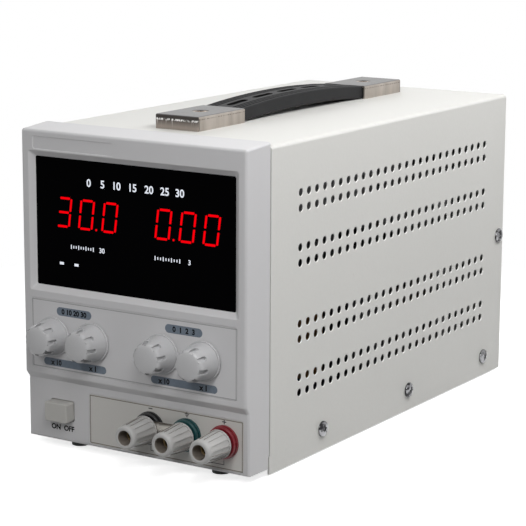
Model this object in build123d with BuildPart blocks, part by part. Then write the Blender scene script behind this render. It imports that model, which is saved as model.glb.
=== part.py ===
"""Bench power supply: sheet-metal case, moulded front bezel, knobs, binding posts, strap handle.

Millimetres. The origin is on the floor under the middle of the product: +X to the right seen
from the front, +Y to the rear, +Z up. Heights of the case are taken from the cover's lower edge.
"""
from build123d import *
import os
from math import atan, cos, degrees, radians

os.makedirs("parts", exist_ok=True)

# ------------------------------------------------------------------ driving sizes
# Case
FLOOR_GAP = 1.0          # cover's lower edge above the floor
COVER_W = 134.0
COVER_H = 160.0
COVER_L = 249.5
SHEET = 1.2              # steel sheet of cover, base, frame and rear panel
BEND_R = 2.0             # outer radius of the folds
FIT_GAP = 0.3            # between the cover and the pieces inside it
FLANGE_L = 12.0          # folded edges of the frame and the rear panel
BASE_RISE = 3.1          # underside of the base above the cover's lower edge
BASE_FLANGE_H = 17.0
REAR_INSET = 2.5         # rear panel inside the cover's rear edge

# Side vents
VENT_SIZE = 3.4
VENT_PITCH = 7.566
VENT_COUNT = 27
VENT_ROW_GAP = 7.6
VENT_FIRST = 26.6        # first column behind the cover's front edge
VENT_BANDS = (38.8, 65.7, 103.6, 130.6)

# Screws
COVER_SCREW_D = 3.8
COVER_SCREW_HEAD = 8.0
COVER_SCREW_HEAD_H = 2.0
COVER_SCREW_L = 7.0
SCREW_HEAD_TAPER = 18
COVER_SCREWS = ((48.9, 11.2), (138.7, 11.2), (227.5, 11.2), (243.6, 79.4))
PANEL_SCREW_D = 3.0
PANEL_SCREW_HEAD = 6.0
PANEL_SCREW_HEAD_H = 2.0
PANEL_SCREW_L = 8.0
HOLE_GAP = 0.3           # a screw's hole is larger all round by this
THREAD_GAP = 0.05        # a screw in its own thread

# Feet
FOOT_D = 10.0
FOOT_TAPER = 6
FRONT_FOOT_INSET = 24.0  # from the cover's side
FOOT_FROM_FACE = 14.5    # front feet behind the bezel's upper face
REAR_FOOT_INSET = 17.0
REAR_FOOT_FROM_EDGE = 16.0

# Bezel
SEAM_GAP = 0.8           # open seam between bezel and cover
BEZEL_DEPTH = 20.0
STEP_BACK = 2.55         # lower face set back from the upper one
STEP_LOW = 34.0
STEP_HIGH = 37.3
BEZEL_DRAFT = 0.5        # front narrower than the rear on each side
BEZEL_PROUD = 2.0        # rear top edge above the cover
BEZEL_TOP_DROP = 1.5     # top edge falls by this towards the front
BEZEL_WALL = 2.5
FACE_WALL = 3.0
BEZEL_R = 2.0
BOSS_D = 7.0
BOSS_INSET = 6.5         # from the side of the bezel's front
BOSS_LOW = 9.5
BOSS_DROP = 5.5          # upper bosses below the cover's top
BOSS_ROOT = 0.5          # boss runs into the wall behind it by this
TONGUE_H = 8.9           # cover's front lower corner, which closes the seam
TONGUE_OUT = 0.6
FRAME_EDGE = 1.0         # frame's openings clear of the bosses
FRAME_LEDGE = 2.4        # frame's openings inside the window and the control label
LOW_OPENING = (10.0, 34.0)

# Window and display
WINDOW_MARGIN = 7.1      # from the side of the bezel's front
WINDOW_LOW = 82.6
WINDOW_DROP = 12.6       # window's upper edge below the cover's top
WINDOW_T = 2.0
WINDOW_SINK = 2.4        # window's face behind the upper face
BEVEL_W = 2.8
WINDOW_LEDGE = 2.0
FRAME_RIB = 1.6          # rib behind the window's ledge
GLUE_GAP = 0.1
NAME_W = 49.3            # bare field above the window
NAME_H = 6.3
NAME_MARGIN = 6.85
NAME_DROP = 5.9
RECESS_DEPTH = 0.4
CORNER_R = 1.2           # corners of the recesses
DIGIT_MODULE = (44.0, 24.0, 8.0)
MODULE_INSETS = (32.4, 27.4)     # middles of the modules from the window's two sides
MODULE_RISE = 5.5        # above the middle of the window
MODULE_CHAMFER = 0.6
MODULE_GAP = 0.5
BOARD_T = 1.6
BOARD_EDGE_X = 2.6       # display board past the window at the sides
BOARD_EDGE_Z = 2.1
BOARD_CORNER_R = 2.0
PILLAR_D = 4.6

# Controls
CONTROL_MARGIN = 5.0
CONTROL_H = 35.3
CONTROL_Z = 58.15
LABEL_T = 0.3
KNOB_Z = 57.6
KNOB_FROM_LEFT = {"voltage_coarse": 18.7, "voltage_fine": 43.0}
KNOB_FROM_RIGHT = {"current_coarse": 48.3, "current_fine": 24.0}
KNOB_FLANGE_D = 20.0
KNOB_FLANGE_T = 1.6
KNOB_ROOT_D = 18.6
KNOB_TIP_D = 15.6
KNOB_L = 14.2
KNOB_GAP = 0.4
KNOB_EDGE_R = 1.0
KNOB_NECK = 0.4          # slope between the flange and the body
KNOB_CROWN = 3.0         # plastic in front of the shaft
NUT_POCKET_GAP = 1.0
NUT_POCKET_FRONT = 0.5
FLUTES = 8
FLUTE_W = 2.4
FLUTE_L = 6.5
FLUTE_DEPTH = 0.6
POT_D = 16.0
POT_L = 9.0
POT_REAR = 1.5           # closed rear end of the potentiometer
SHAFT_REAR = 2.0         # shaft's rear end from the same face
BUSH_D = 7.0
BUSH_OUT = 2.7
SHAFT_D = 6.0
SHAFT_RUN_GAP = 0.05
POT_NUT_AF = 10.0
POT_NUT_T = 2.0

# Power button
BUTTON_W = 14.0
BUTTON_H = 10.0
BUTTON_FROM_LEFT = 21.5
BUTTON_Z = 19.2
BUTTON_OUT = 6.0
BUTTON_IN = 5.0          # length behind the lower face
BUTTON_TRAVEL = 3.5
BUTTON_GAP = 0.5
BUTTON_R = 1.0
BUTTON_EDGE_R = 0.8
BUTTON_BACK_GAP = 0.5
SLEEVE_WALL = 1.5
SWITCH_W = 20.0
SWITCH_H = 15.0
SWITCH_L = 22.0
SWITCH_PIN = (0.8, 4.0, 7.0)
SWITCH_PIN_PITCH = (10.0, 8.0)
STEM = 4.0
STEM_L = 6.0
STEM_GAP = 0.5
STEM_END_GAP = 1.0

# Binding posts
POST_FROM_RIGHT = {"negative": 57.2, "ground": 35.6, "positive": 14.0}
POST_Z = 18.6
POST_FLANGE_D = 16.6
POST_FLANGE_OUT = 3.0    # front of the coloured flange before the lower face
POST_FLANGE_EDGE_R = 0.5
POST_GROOVE = (0.4, 0.4)         # width and depth of the groove round the flange
POST_GROOVE_AT = 1.4             # its middle before the lower face
NECK_D = 9.0
NECK_SHORT = 0.2
STUD_D = 6.0
STUD_OUT = 15.8          # stud's mouth before the lower face
STUD_IN = 14.0
SOCKET_D = 4.0
SOCKET_DEPTH = 11.5
SOCKET_CHAMFER = 0.3
POST_NUT_AF = 10.0
POST_NUT_T = 4.0
LINK_T = 1.0
LINK_H = 10.0
LINK_GAP = 0.2           # link to flange and link to cap
LINK_HOLE_GAP = 0.3
CAP_REAR_D = 14.4
CAP_FRONT_D = 11.6
CAP_L = 17.2
CAP_NOSE = 2.6           # smooth ring in front of the flutes
CAP_NOSE_R = 0.8
CAP_COLLAR = 1.2         # smooth ring behind the flutes
CAP_MOUTH_D = 7.2
CAP_FLUTES = 14
CAP_FLUTE_D = 2.4
CAP_FLUTE_DEPTH = 0.55
INSERT_D = 8.0
INSERT_L = 6.6
INSERT_SINK = 0.9
INSERT_RUN_GAP = 0.08
TERMINAL_W = 91.5
TERMINAL_H = 25.4
TERMINAL_Z = 17.4
TERMINAL_MARGIN = 3.1    # from the right side of the bezel's front

# Handle
HANDLE_X = -1.5
HANDLE_L = 205.0
HANDLE_MID = 122.9       # behind the cover's front edge
HANDLE_CAP_L = 41.5
HANDLE_CAP_W = 26.0
HANDLE_CAP_H = 7.3
HANDLE_SHEET = 1.0
DIMPLE_D = 10.0
DIMPLE_DEPTH = 1.6
DIMPLE_WALL = 0.6
DIMPLE_TAPER = 30
HANDLE_EDGE_R = 0.8
HANDLE_SEAM = 0.4        # open corner between the folded sides
HANDLE_SCREW_D = 4.0
HANDLE_SCREW_HEAD = 7.0
HANDLE_SCREW_HEAD_H = 1.8
HANDLE_SCREW_IN = 5.0    # screw below the cover's top
STRAP_W = 23.2
STRAP_T = 5.7
STRAP_LIFT = 0.3
STRAP_BOW_LOW = 2.4      # rise of the underside at the middle
STRAP_BOW_HIGH = 2.9     # rise of the top at the middle
STRAP_SWELL = 1.2        # top outside the caps above the top inside them
RIBS = 3                 # lengthwise ribs along each edge
RIB_W = 1.3
RIB_PITCH = 2.3
RIB_H = 0.7
BAND_W = 8.0             # middle band with its row of slots
STRAP_SLOTS = 5
STRAP_SLOT_PITCH = 24.0
STRAP_SLOT_L = 17.0
STRAP_SLOT_W = 4.0
GRIP_L = 72.0
TAB_GAP = 1.0            # strap's end inside the cap
TAB_SLOT_L = 24.0

# Fan
FAN_SIZE = 80.0
FAN_T = 25.0
FAN_BORE = 76.0
FAN_HOLES = 71.5
FAN_DROP = 57.0          # fan's middle below the cover's top
FAN_CORNER_R = 4.0
FAN_HUB_D = 32.0
ROTOR_D = 73.0
ROTOR_HUB_D = 30.0
ROTOR_GAP = 1.0
BLADES = 7
BLADE_T = 1.6
BLADE_LEAN = 0.25
BLADE_END = 2.0          # blades inside the hub's two ends
BLADE_ROOT = (1.5, 5.0)  # sunk in the hub, half width there
BLADE_TIP = (0.5, 11.0)  # sunk in the rim, half width there
BLADE_BULGE = 1.5
SPIDER_T = 3.0
SPIDER_W = 3.0
SPIDER_TURN = 30
FAN_PIN_D = 3.0
PIN_BORE_END = 3.5       # hub's closed end
PIN_END_GAP = 0.5
GUARD_T = 1.2
GUARD_RING_W = 2.0
GUARD_RINGS = (11.0, 19.0, 27.0, 35.0)
GUARD_EAR_D = 6.8

# Rear sockets
INLET_INSET = 31.0       # from the cover's left side
INLET_Z = 29.0
INLET_FLANGE_W = 50.0
INLET_FLANGE_H = 24.0
INLET_FLANGE_T = 2.5
INLET_BODY_W = 28.0
INLET_BODY_H = 20.0
INLET_BODY_L = 20.0
INLET_CAVITY_W = 24.0
INLET_CAVITY_H = 16.0
INLET_CAVITY_L = 16.0
INLET_HOLES = 40.0
INLET_CORNER_R = 3.0
INLET_KEY = 4.0          # cavity's cut corners
PIN_W = 2.0
PIN_H = 4.0
PIN_PITCH = 7.0
PIN_OFFSET = 2.0         # middle pin above, outer pins below
PIN_SHORT = 1.0          # pins behind the cavity's mouth
FUSE_INSET = 37.0        # from the cover's right side
FUSE_Z = 29.0
FUSE_BODY_D = 12.0
FUSE_FLANGE_D = 16.0
FUSE_FLANGE_T = 2.0
FUSE_BODY_L = 30.0
FUSE_BORE_D = 7.0
FUSE_CAP_D = 12.6
FUSE_CAP_L = 8.0
FUSE_CAP_FLUTES = 10
FUSE_FLUTE_R = 1.0
FUSE_FLUTE_OUT = 0.4
FUSE_SLOT = (1.2, 8.0, 1.0)
FUSE_D = 5.2
FUSE_L = 20.0
FUSE_PLUG_D = 6.2
FUSE_PLUG_L = 6.0

# Inside
SINK_MARGIN = 13.5       # from the cover's inside
SINK_H = 118.0
SINK_T = 4.0
FIN_L = 18.0
FIN_T = 2.0
FINS = 12
SINK_TO_FAN = 5.0
TRANSISTOR = (16.0, 21.0, 5.0)
TRANSISTOR_X = (-30.0, 0.0, 30.0)
TRANSISTOR_RISE = 70.0
TRANSISTOR_HOLE_D = 3.6
LEG = (1.2, 10.0, 0.6)
LEG_PITCH = 5.4
LEG_BACK = 2.0
CORE_W = 96.0
CORE_H = 80.0
CORE_T = 42.0
CORE_LEG = 32.0
CORE_YOKE = 16.0
CORE_Y = 128.0           # middle, behind the cover's front edge
COIL_OUT = 12.0
COIL_GAP = 0.5
COIL_R = 6.0
BOARD_MARGIN = 10.5      # from the cover's inside
BOARD_L = 62.0
BOARD_Y = 56.0           # middle, behind the cover's front edge
BOARD_RISE = 8.0
BOARD_HOLE_INSET = 6.0
BOARD_PILLAR_D = 6.0
CAPACITORS = ((-28.0, 8.0, 25.0, 40.0), (4.0, 8.0, 25.0, 40.0), (32.0, 4.0, 16.0, 25.0))

# ------------------------------------------------------------------ places worked out from them
# The origin lies midway between the front of the post caps and the rear of the fuse cap
front_reach = SEAM_GAP + BEZEL_DEPTH - STEP_BACK + POST_FLANGE_OUT + LINK_T + 2 * LINK_GAP + CAP_L
rear_reach = COVER_L - REAR_INSET + FUSE_FLANGE_T + FIT_GAP + FUSE_CAP_L
seam_y = (front_reach - rear_reach) / 2
cover_half = COVER_W / 2
cover_top = FLOOR_GAP + COVER_H
cover_rear = seam_y + COVER_L
inner_half = cover_half - SHEET - FIT_GAP
inner_top = cover_top - SHEET - FIT_GAP
front_half = cover_half - BEZEL_DRAFT
boss_x = front_half - BOSS_INSET
boss_heights = (BOSS_LOW, COVER_H - BOSS_DROP)
window_half = front_half - WINDOW_MARGIN
window_h = COVER_H - WINDOW_DROP - WINDOW_LOW
window_mid = WINDOW_LOW + window_h / 2
module_x = (MODULE_INSETS[0] - window_half, window_half - MODULE_INSETS[1])
display_board_w = 2 * (window_half + BOARD_EDGE_X)
display_board_h = window_h + 2 * BOARD_EDGE_Z
control_w = 2 * (front_half - CONTROL_MARGIN)
name_x = NAME_MARGIN + NAME_W / 2 - front_half
terminal_x = front_half - TERMINAL_MARGIN - TERMINAL_W / 2
knob_x = {name: inset - front_half for name, inset in KNOB_FROM_LEFT.items()}
knob_x.update({name: front_half - inset for name, inset in KNOB_FROM_RIGHT.items()})
button_x = BUTTON_FROM_LEFT - front_half
post_x = {name: front_half - inset for name, inset in POST_FROM_RIGHT.items()}
inlet_x = INLET_INSET - cover_half
fuse_x = cover_half - FUSE_INSET
base_low = FLOOR_GAP + BASE_RISE
base_top = base_low + SHEET
bezel_rear = seam_y - SEAM_GAP
face_y = bezel_rear - BEZEL_DEPTH
low_face_y = face_y + STEP_BACK
face_inside = face_y + FACE_WALL
low_inside = low_face_y + FACE_WALL
frame_back = bezel_rear + SHEET
panel_out = cover_rear - REAR_INSET
panel_in = panel_out - SHEET
label_back = face_y + RECESS_DEPTH
label_face = label_back - LABEL_T
terminal_back = low_face_y + RECESS_DEPTH
terminal_face = terminal_back - LABEL_T


def case_z(height):
    """Height above the floor of a point given from the cover's lower edge."""
    return FLOOR_GAP + height


def facing_front(y):
    """Plane across the product at y: x to the right, z up, normal to the front."""
    return Plane.XZ.offset(-y)


def facing_right(x):
    """Plane along the product at x: y to the rear, z up, normal to the right."""
    return Plane.YZ.offset(x)


def save(piece, label):
    """Name a finished piece and write its STEP file."""
    piece.part.label = label
    export_step(piece.part, f"parts/{label}.step")


# ------------------------------------------------------------------ cover
with BuildPart() as top_cover:
    with BuildSketch(facing_front(seam_y)):
        with BuildLine():
            FilletPolyline(
                (-cover_half + SHEET / 2, FLOOR_GAP),
                (-cover_half + SHEET / 2, cover_top - SHEET / 2),
                (cover_half - SHEET / 2, cover_top - SHEET / 2),
                (cover_half - SHEET / 2, FLOOR_GAP),
                radius=BEND_R - SHEET / 2,
            )
        trace(line_width=SHEET)
    extrude(amount=-COVER_L)
    for side in (-1, 1):
        with BuildSketch(facing_right(side * (cover_half - SHEET / 2))):
            with Locations((seam_y, FLOOR_GAP)):
                Rectangle(TONGUE_OUT, TONGUE_H, align=(Align.MAX, Align.MIN))
        extrude(amount=SHEET / 2, both=True)
    vent_mid = seam_y + VENT_FIRST + VENT_PITCH * (VENT_COUNT - 1) / 2
    with BuildSketch(facing_right(0)):
        for band in VENT_BANDS:
            with Locations((vent_mid, case_z(band))):
                with GridLocations(VENT_PITCH, VENT_ROW_GAP, VENT_COUNT, 2):
                    Rectangle(VENT_SIZE, VENT_SIZE)
        for back, height in COVER_SCREWS:
            with Locations((seam_y + back, case_z(height))):
                Circle(COVER_SCREW_D / 2 + HOLE_GAP)
    extrude(amount=COVER_W, both=True, mode=Mode.SUBTRACT)
    handle_y = seam_y + HANDLE_MID
    handle_hole = (HANDLE_L - HANDLE_CAP_L) / 2
    with BuildSketch(Plane.XY.offset(cover_top)):
        with Locations((HANDLE_X, handle_y - handle_hole), (HANDLE_X, handle_y + handle_hole)):
            Circle(HANDLE_SCREW_D / 2 + HOLE_GAP)
    extrude(amount=-2 * SHEET, mode=Mode.SUBTRACT)
save(top_cover, "top_cover")

# ------------------------------------------------------------------ chassis
flange_mid = inner_half - SHEET / 2
flange_y0 = frame_back + FLANGE_L + FIT_GAP
flange_y1 = panel_out - FLANGE_L - FIT_GAP
board_y = seam_y + BOARD_Y
board_low = base_top + BOARD_RISE
board_w = 2 * (inner_half - BOARD_MARGIN)

with BuildPart() as chassis_base:
    with BuildSketch(facing_front(flange_y0)):
        with BuildLine():
            FilletPolyline(
                (-flange_mid, base_low + BASE_FLANGE_H),
                (-flange_mid, base_low + SHEET / 2),
                (flange_mid, base_low + SHEET / 2),
                (flange_mid, base_low + BASE_FLANGE_H),
                radius=BEND_R - SHEET / 2,
            )
        trace(line_width=SHEET)
    extrude(amount=flange_y0 - flange_y1)
    with BuildSketch(Plane.XY.offset(base_low)):
        with Locations((0, (frame_back + panel_out) / 2)):
            Rectangle(2 * (inner_half - BEND_R), panel_out - frame_back)
    extrude(amount=SHEET)
    with BuildSketch(Plane.XY.offset(base_top)):
        with Locations((0, board_y)):
            with GridLocations(board_w - 2 * BOARD_HOLE_INSET, BOARD_L - 2 * BOARD_HOLE_INSET, 2, 2):
                Circle(BOARD_PILLAR_D / 2)
    extrude(amount=BOARD_RISE)
    with BuildSketch(facing_right(0)):
        for back, height in COVER_SCREWS[:3]:
            with Locations((seam_y + back, case_z(height))):
                Circle(COVER_SCREW_D / 2 + THREAD_GAP)
    extrude(amount=COVER_W, both=True, mode=Mode.SUBTRACT)
save(chassis_base, "chassis_base")

opening_half = boss_x - BOSS_D / 2 - FRAME_EDGE
frame_openings = (
    (WINDOW_LOW + FRAME_LEDGE, COVER_H - WINDOW_DROP - FRAME_LEDGE),
    (CONTROL_Z - CONTROL_H / 2 + FRAME_LEDGE, CONTROL_Z + CONTROL_H / 2 - FRAME_LEDGE),
    LOW_OPENING,
)
with BuildPart() as front_frame:
    with BuildSketch(Plane.XY.offset(base_top)):
        with BuildLine():
            FilletPolyline(
                (-flange_mid, frame_back + FLANGE_L),
                (-flange_mid, bezel_rear + SHEET / 2),
                (flange_mid, bezel_rear + SHEET / 2),
                (flange_mid, frame_back + FLANGE_L),
                radius=BEND_R - SHEET / 2,
            )
        trace(line_width=SHEET)
    extrude(amount=inner_top - base_top)
    with BuildSketch(facing_front(frame_back + SHEET)):
        for low, high in frame_openings:
            with Locations((0, case_z((low + high) / 2))):
                Rectangle(2 * opening_half, high - low)
        for height in boss_heights:
            with Locations((-boss_x, case_z(height)), (boss_x, case_z(height))):
                Circle(PANEL_SCREW_D / 2 + HOLE_GAP)
    extrude(amount=3 * SHEET, mode=Mode.SUBTRACT)
save(front_frame, "front_frame")

with BuildPart() as rear_panel:
    with BuildSketch(Plane.XY.offset(base_top)):
        with BuildLine():
            FilletPolyline(
                (-flange_mid, panel_out - FLANGE_L),
                (-flange_mid, panel_out - SHEET / 2),
                (flange_mid, panel_out - SHEET / 2),
                (flange_mid, panel_out - FLANGE_L),
                radius=BEND_R - SHEET / 2,
            )
        trace(line_width=SHEET)
    extrude(amount=inner_top - base_top)
    with BuildSketch(facing_front(panel_out + SHEET)):
        with Locations((0, case_z(COVER_H - FAN_DROP))):
            Circle(FAN_BORE / 2)
            with GridLocations(FAN_HOLES, FAN_HOLES, 2, 2):
                Circle(PANEL_SCREW_D / 2 + HOLE_GAP)
        with Locations((inlet_x, case_z(INLET_Z))):
            Rectangle(INLET_BODY_W + 2 * FIT_GAP, INLET_BODY_H + 2 * FIT_GAP)
            with GridLocations(INLET_HOLES, 1, 2, 1):
                Circle(PANEL_SCREW_D / 2 + THREAD_GAP)
        with Locations((fuse_x, case_z(FUSE_Z))):
            Circle(FUSE_BODY_D / 2 + FIT_GAP)
    extrude(amount=3 * SHEET, mode=Mode.SUBTRACT)
    with BuildSketch(facing_right(0)):
        with Locations((seam_y + COVER_SCREWS[3][0], case_z(COVER_SCREWS[3][1]))):
            Circle(COVER_SCREW_D / 2 + THREAD_GAP)
    extrude(amount=COVER_W, both=True, mode=Mode.SUBTRACT)
save(rear_panel, "rear_panel")

with BuildPart() as cover_screws:
    for side in (-1, 1):
        for back, height in COVER_SCREWS:
            seat = Plane((side * cover_half, seam_y + back, case_z(height)), z_dir=(side, 0, 0))
            with BuildSketch(seat):
                Circle(COVER_SCREW_HEAD / 2)
            extrude(amount=COVER_SCREW_HEAD_H, taper=SCREW_HEAD_TAPER)
            with BuildSketch(seat):
                Circle(COVER_SCREW_D / 2)
            extrude(amount=-COVER_SCREW_L)
save(cover_screws, "cover_screws")

with BuildPart() as rubber_feet:
    front_foot_y = face_y + FOOT_FROM_FACE
    rear_foot_y = cover_rear - REAR_FOOT_FROM_EDGE
    for inset, y in ((FRONT_FOOT_INSET, front_foot_y), (REAR_FOOT_INSET, rear_foot_y)):
        x = cover_half - inset
        with BuildSketch(Plane.XY.offset(base_low)):
            with Locations((-x, y), (x, y)):
                Circle(FOOT_D / 2)
        extrude(amount=-base_low, taper=FOOT_TAPER)
save(rubber_feet, "rubber_feet")

# ------------------------------------------------------------------ bezel
bezel_low = base_low
bezel_top_rear = cover_top + BEZEL_PROUD
bezel_top_front = bezel_top_rear - BEZEL_TOP_DROP
window_back = face_y + WINDOW_SINK + WINDOW_T
rib_back = window_back + FRAME_RIB
board_face = window_back + MODULE_GAP + DIGIT_MODULE[2]
window_z = case_z(window_mid)
control_z = case_z(CONTROL_Z)
button_z = case_z(BUTTON_Z)
post_z = case_z(POST_Z)
knob_z = case_z(KNOB_Z)
sleeve_back = low_inside + BUTTON_IN
module_z = window_z + MODULE_RISE

with BuildPart() as front_bezel:
    with BuildSketch(facing_right(0)):
        Polygon(
            (bezel_rear, bezel_low),
            (low_face_y, bezel_low),
            (low_face_y, case_z(STEP_LOW)),
            (face_y, case_z(STEP_HIGH)),
            (face_y, bezel_top_front),
            (bezel_rear, bezel_top_rear),
            align=None,
        )
    extrude(amount=COVER_W, both=True)
    with BuildSketch(Plane.XY):
        Polygon(
            (-cover_half, bezel_rear),
            (-front_half, face_y),
            (front_half, face_y),
            (cover_half, bezel_rear),
            align=None,
        )
    extrude(amount=2 * COVER_H, mode=Mode.INTERSECT)
    outer_edges = front_bezel.edges().filter_by(lambda e: e.center().Y < bezel_rear - 1)
    fillet(outer_edges, BEZEL_R)
    with BuildSketch(facing_right(0)):
        Polygon(
            (bezel_rear, bezel_low + BEZEL_WALL),
            (low_inside, bezel_low + BEZEL_WALL),
            (low_inside, case_z(STEP_LOW)),
            (face_inside, case_z(STEP_HIGH)),
            (face_inside, bezel_top_front - BEZEL_WALL),
            (bezel_rear, bezel_top_rear - BEZEL_WALL),
            align=None,
        )
    extrude(amount=front_half - BEZEL_WALL, both=True, mode=Mode.SUBTRACT)
    # Rib round the window, and the pillars that carry the display board
    with BuildSketch(facing_front(rib_back)):
        with Locations((0, window_z)):
            Rectangle(2 * front_half - BEZEL_WALL, window_h + 2 * BEVEL_W + 2 * BEZEL_WALL)
    extrude(amount=rib_back - face_inside + 1)
    with BuildSketch(facing_front(board_face)):
        with Locations((0, window_z)):
            with GridLocations(display_board_w - PILLAR_D, display_board_h - PILLAR_D, 2, 2):
                Circle(PILLAR_D / 2)
    extrude(amount=board_face - rib_back)
    # Window: bevelled recess, pocket for the pane and the opening behind it
    with BuildSketch(facing_front(face_y)):
        with Locations((0, window_z)):
            Rectangle(2 * (window_half + BEVEL_W), window_h + 2 * BEVEL_W)
    extrude(amount=-WINDOW_SINK, taper=degrees(atan(BEVEL_W / WINDOW_SINK)), mode=Mode.SUBTRACT)
    with BuildSketch(facing_front(face_y)):
        with Locations((0, window_z)):
            Rectangle(2 * window_half, window_h)
    extrude(amount=face_y - window_back, mode=Mode.SUBTRACT)
    with BuildSketch(facing_front(face_y)):
        with Locations((0, window_z)):
            Rectangle(2 * (window_half - WINDOW_LEDGE), window_h - 2 * WINDOW_LEDGE)
    extrude(amount=face_y - rib_back, mode=Mode.SUBTRACT)
    # Shallow recesses: plain field above the window, control label, terminal label
    with BuildSketch(facing_front(face_y)):
        with Locations((name_x, case_z(COVER_H - NAME_DROP))):
            RectangleRounded(NAME_W, NAME_H, CORNER_R)
        with Locations((0, control_z)):
            RectangleRounded(control_w, CONTROL_H, CORNER_R)
    extrude(amount=-RECESS_DEPTH, mode=Mode.SUBTRACT)
    with BuildSketch(facing_front(low_face_y)):
        with Locations((terminal_x, case_z(TERMINAL_Z))):
            RectangleRounded(TERMINAL_W, TERMINAL_H, CORNER_R)
    extrude(amount=-RECESS_DEPTH, mode=Mode.SUBTRACT)
    # Sleeve that guides the power button
    with BuildSketch(facing_front(sleeve_back)):
        with Locations((button_x, button_z)):
            sleeve_gap = BUTTON_GAP + SLEEVE_WALL
            Rectangle(BUTTON_W + 2 * sleeve_gap, BUTTON_H + 2 * sleeve_gap)
    extrude(amount=sleeve_back - low_inside)
    with BuildSketch(facing_front(sleeve_back)):
        with Locations((button_x, button_z)):
            RectangleRounded(BUTTON_W + 2 * BUTTON_GAP, BUTTON_H + 2 * BUTTON_GAP, BUTTON_R)
    extrude(amount=sleeve_back - face_y, mode=Mode.SUBTRACT)
    # Screw bosses for the frame
    with BuildSketch(facing_front(bezel_rear)):
        for height in boss_heights:
            with Locations((-boss_x, case_z(height)), (boss_x, case_z(height))):
                Circle(BOSS_D / 2)
    extrude(amount=bezel_rear - low_inside + BOSS_ROOT)
    # Holes: bosses, knob bushings, binding posts
    with BuildSketch(facing_front(bezel_rear)):
        for height in boss_heights:
            with Locations((-boss_x, case_z(height)), (boss_x, case_z(height))):
                Circle(PANEL_SCREW_D / 2 + THREAD_GAP)
    extrude(amount=PANEL_SCREW_L, mode=Mode.SUBTRACT)
    with BuildSketch(facing_front(face_inside)):
        for x in knob_x.values():
            with Locations((x, knob_z)):
                Circle(BUSH_D / 2 + FIT_GAP)
    extrude(amount=FACE_WALL, mode=Mode.SUBTRACT)
    with BuildSketch(facing_front(low_inside)):
        for x in post_x.values():
            with Locations((x, post_z)):
                Circle(NECK_D / 2 + GLUE_GAP)
    extrude(amount=FACE_WALL, mode=Mode.SUBTRACT)
save(front_bezel, "front_bezel")

with BuildPart() as panel_screws:
    screw_seats = []
    for x in (-boss_x, boss_x):
        for height in boss_heights:
            screw_seats.append((x, frame_back, case_z(height)))
    for dx in (-1, 1):
        for dz in (-1, 1):
            hole_z = case_z(COVER_H - FAN_DROP) + dz * FAN_HOLES / 2
            screw_seats.append((dx * FAN_HOLES / 2, panel_out + GUARD_T, hole_z))
        screw_seats.append((inlet_x + dx * INLET_HOLES / 2, panel_out + INLET_FLANGE_T, case_z(INLET_Z)))
    for place in screw_seats:
        seat = Plane(place, z_dir=(0, 1, 0))
        with BuildSketch(seat):
            Circle(PANEL_SCREW_HEAD / 2)
        extrude(amount=PANEL_SCREW_HEAD_H, taper=SCREW_HEAD_TAPER)
        with BuildSketch(seat):
            Circle(PANEL_SCREW_D / 2)
        extrude(amount=-PANEL_SCREW_L)
save(panel_screws, "panel_screws")

# ------------------------------------------------------------------ window, display, labels
with BuildPart() as display_window:
    with BuildSketch(facing_front(window_back)):
        with Locations((0, window_z)):
            Rectangle(2 * (window_half - GLUE_GAP), window_h - 2 * GLUE_GAP)
    extrude(amount=WINDOW_T)
save(display_window, "display_window")

for name, x in zip(("voltage_display", "current_display"), module_x):
    with BuildPart() as digit_module:
        with BuildSketch(facing_front(board_face)):
            with Locations((x, module_z)):
                Rectangle(DIGIT_MODULE[0], DIGIT_MODULE[1])
        extrude(amount=DIGIT_MODULE[2])
        chamfer(digit_module.faces().sort_by(Axis.Y)[0].edges(), MODULE_CHAMFER)
    save(digit_module, name)

with BuildPart() as display_board:
    with BuildSketch(facing_front(board_face)):
        with Locations((0, window_z)):
            RectangleRounded(display_board_w, display_board_h, BOARD_CORNER_R)
    extrude(amount=-BOARD_T)
save(display_board, "display_board")

with BuildPart() as control_label:
    with BuildSketch(facing_front(label_back)):
        with Locations((0, control_z)):
            RectangleRounded(control_w - 2 * GLUE_GAP, CONTROL_H - 2 * GLUE_GAP, CORNER_R - GLUE_GAP)
        for x in knob_x.values():
            with Locations((x, knob_z)):
                Circle(BUSH_D / 2 + FIT_GAP, mode=Mode.SUBTRACT)
    extrude(amount=LABEL_T)
save(control_label, "control_label")

with BuildPart() as terminal_label:
    with BuildSketch(facing_front(terminal_back)):
        with Locations((terminal_x, case_z(TERMINAL_Z))):
            RectangleRounded(TERMINAL_W - 2 * GLUE_GAP, TERMINAL_H - 2 * GLUE_GAP, CORNER_R - GLUE_GAP)
        for x in post_x.values():
            with Locations((x, post_z)):
                Circle(NECK_D / 2 + GLUE_GAP, mode=Mode.SUBTRACT)
    extrude(amount=LABEL_T)
save(terminal_label, "terminal_label")

# ------------------------------------------------------------------ potentiometers and knobs
knob_rear = face_y - KNOB_GAP
knob_front = knob_rear - KNOB_L
shaft_front = knob_front + KNOB_CROWN
shaft_back = face_inside + POT_L - SHAFT_REAR
bush_front = label_face - BUSH_OUT
pocket_front = bush_front - NUT_POCKET_FRONT
pocket_r = POT_NUT_AF / 3**0.5 + NUT_POCKET_GAP
flange_front_y = knob_rear - KNOB_FLANGE_T
slot_places = []
knob_tilt = degrees(atan((KNOB_ROOT_D - KNOB_TIP_D) / 2 / (KNOB_L - KNOB_FLANGE_T - KNOB_NECK)))
for i in range(FLUTES):
    start = Pos(0, knob_front, KNOB_TIP_D / 2 - FLUTE_DEPTH)
    slot_places.append(Rotation(0, i * 360 / FLUTES, 0) * start * Rotation(knob_tilt, 0, 0))

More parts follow.
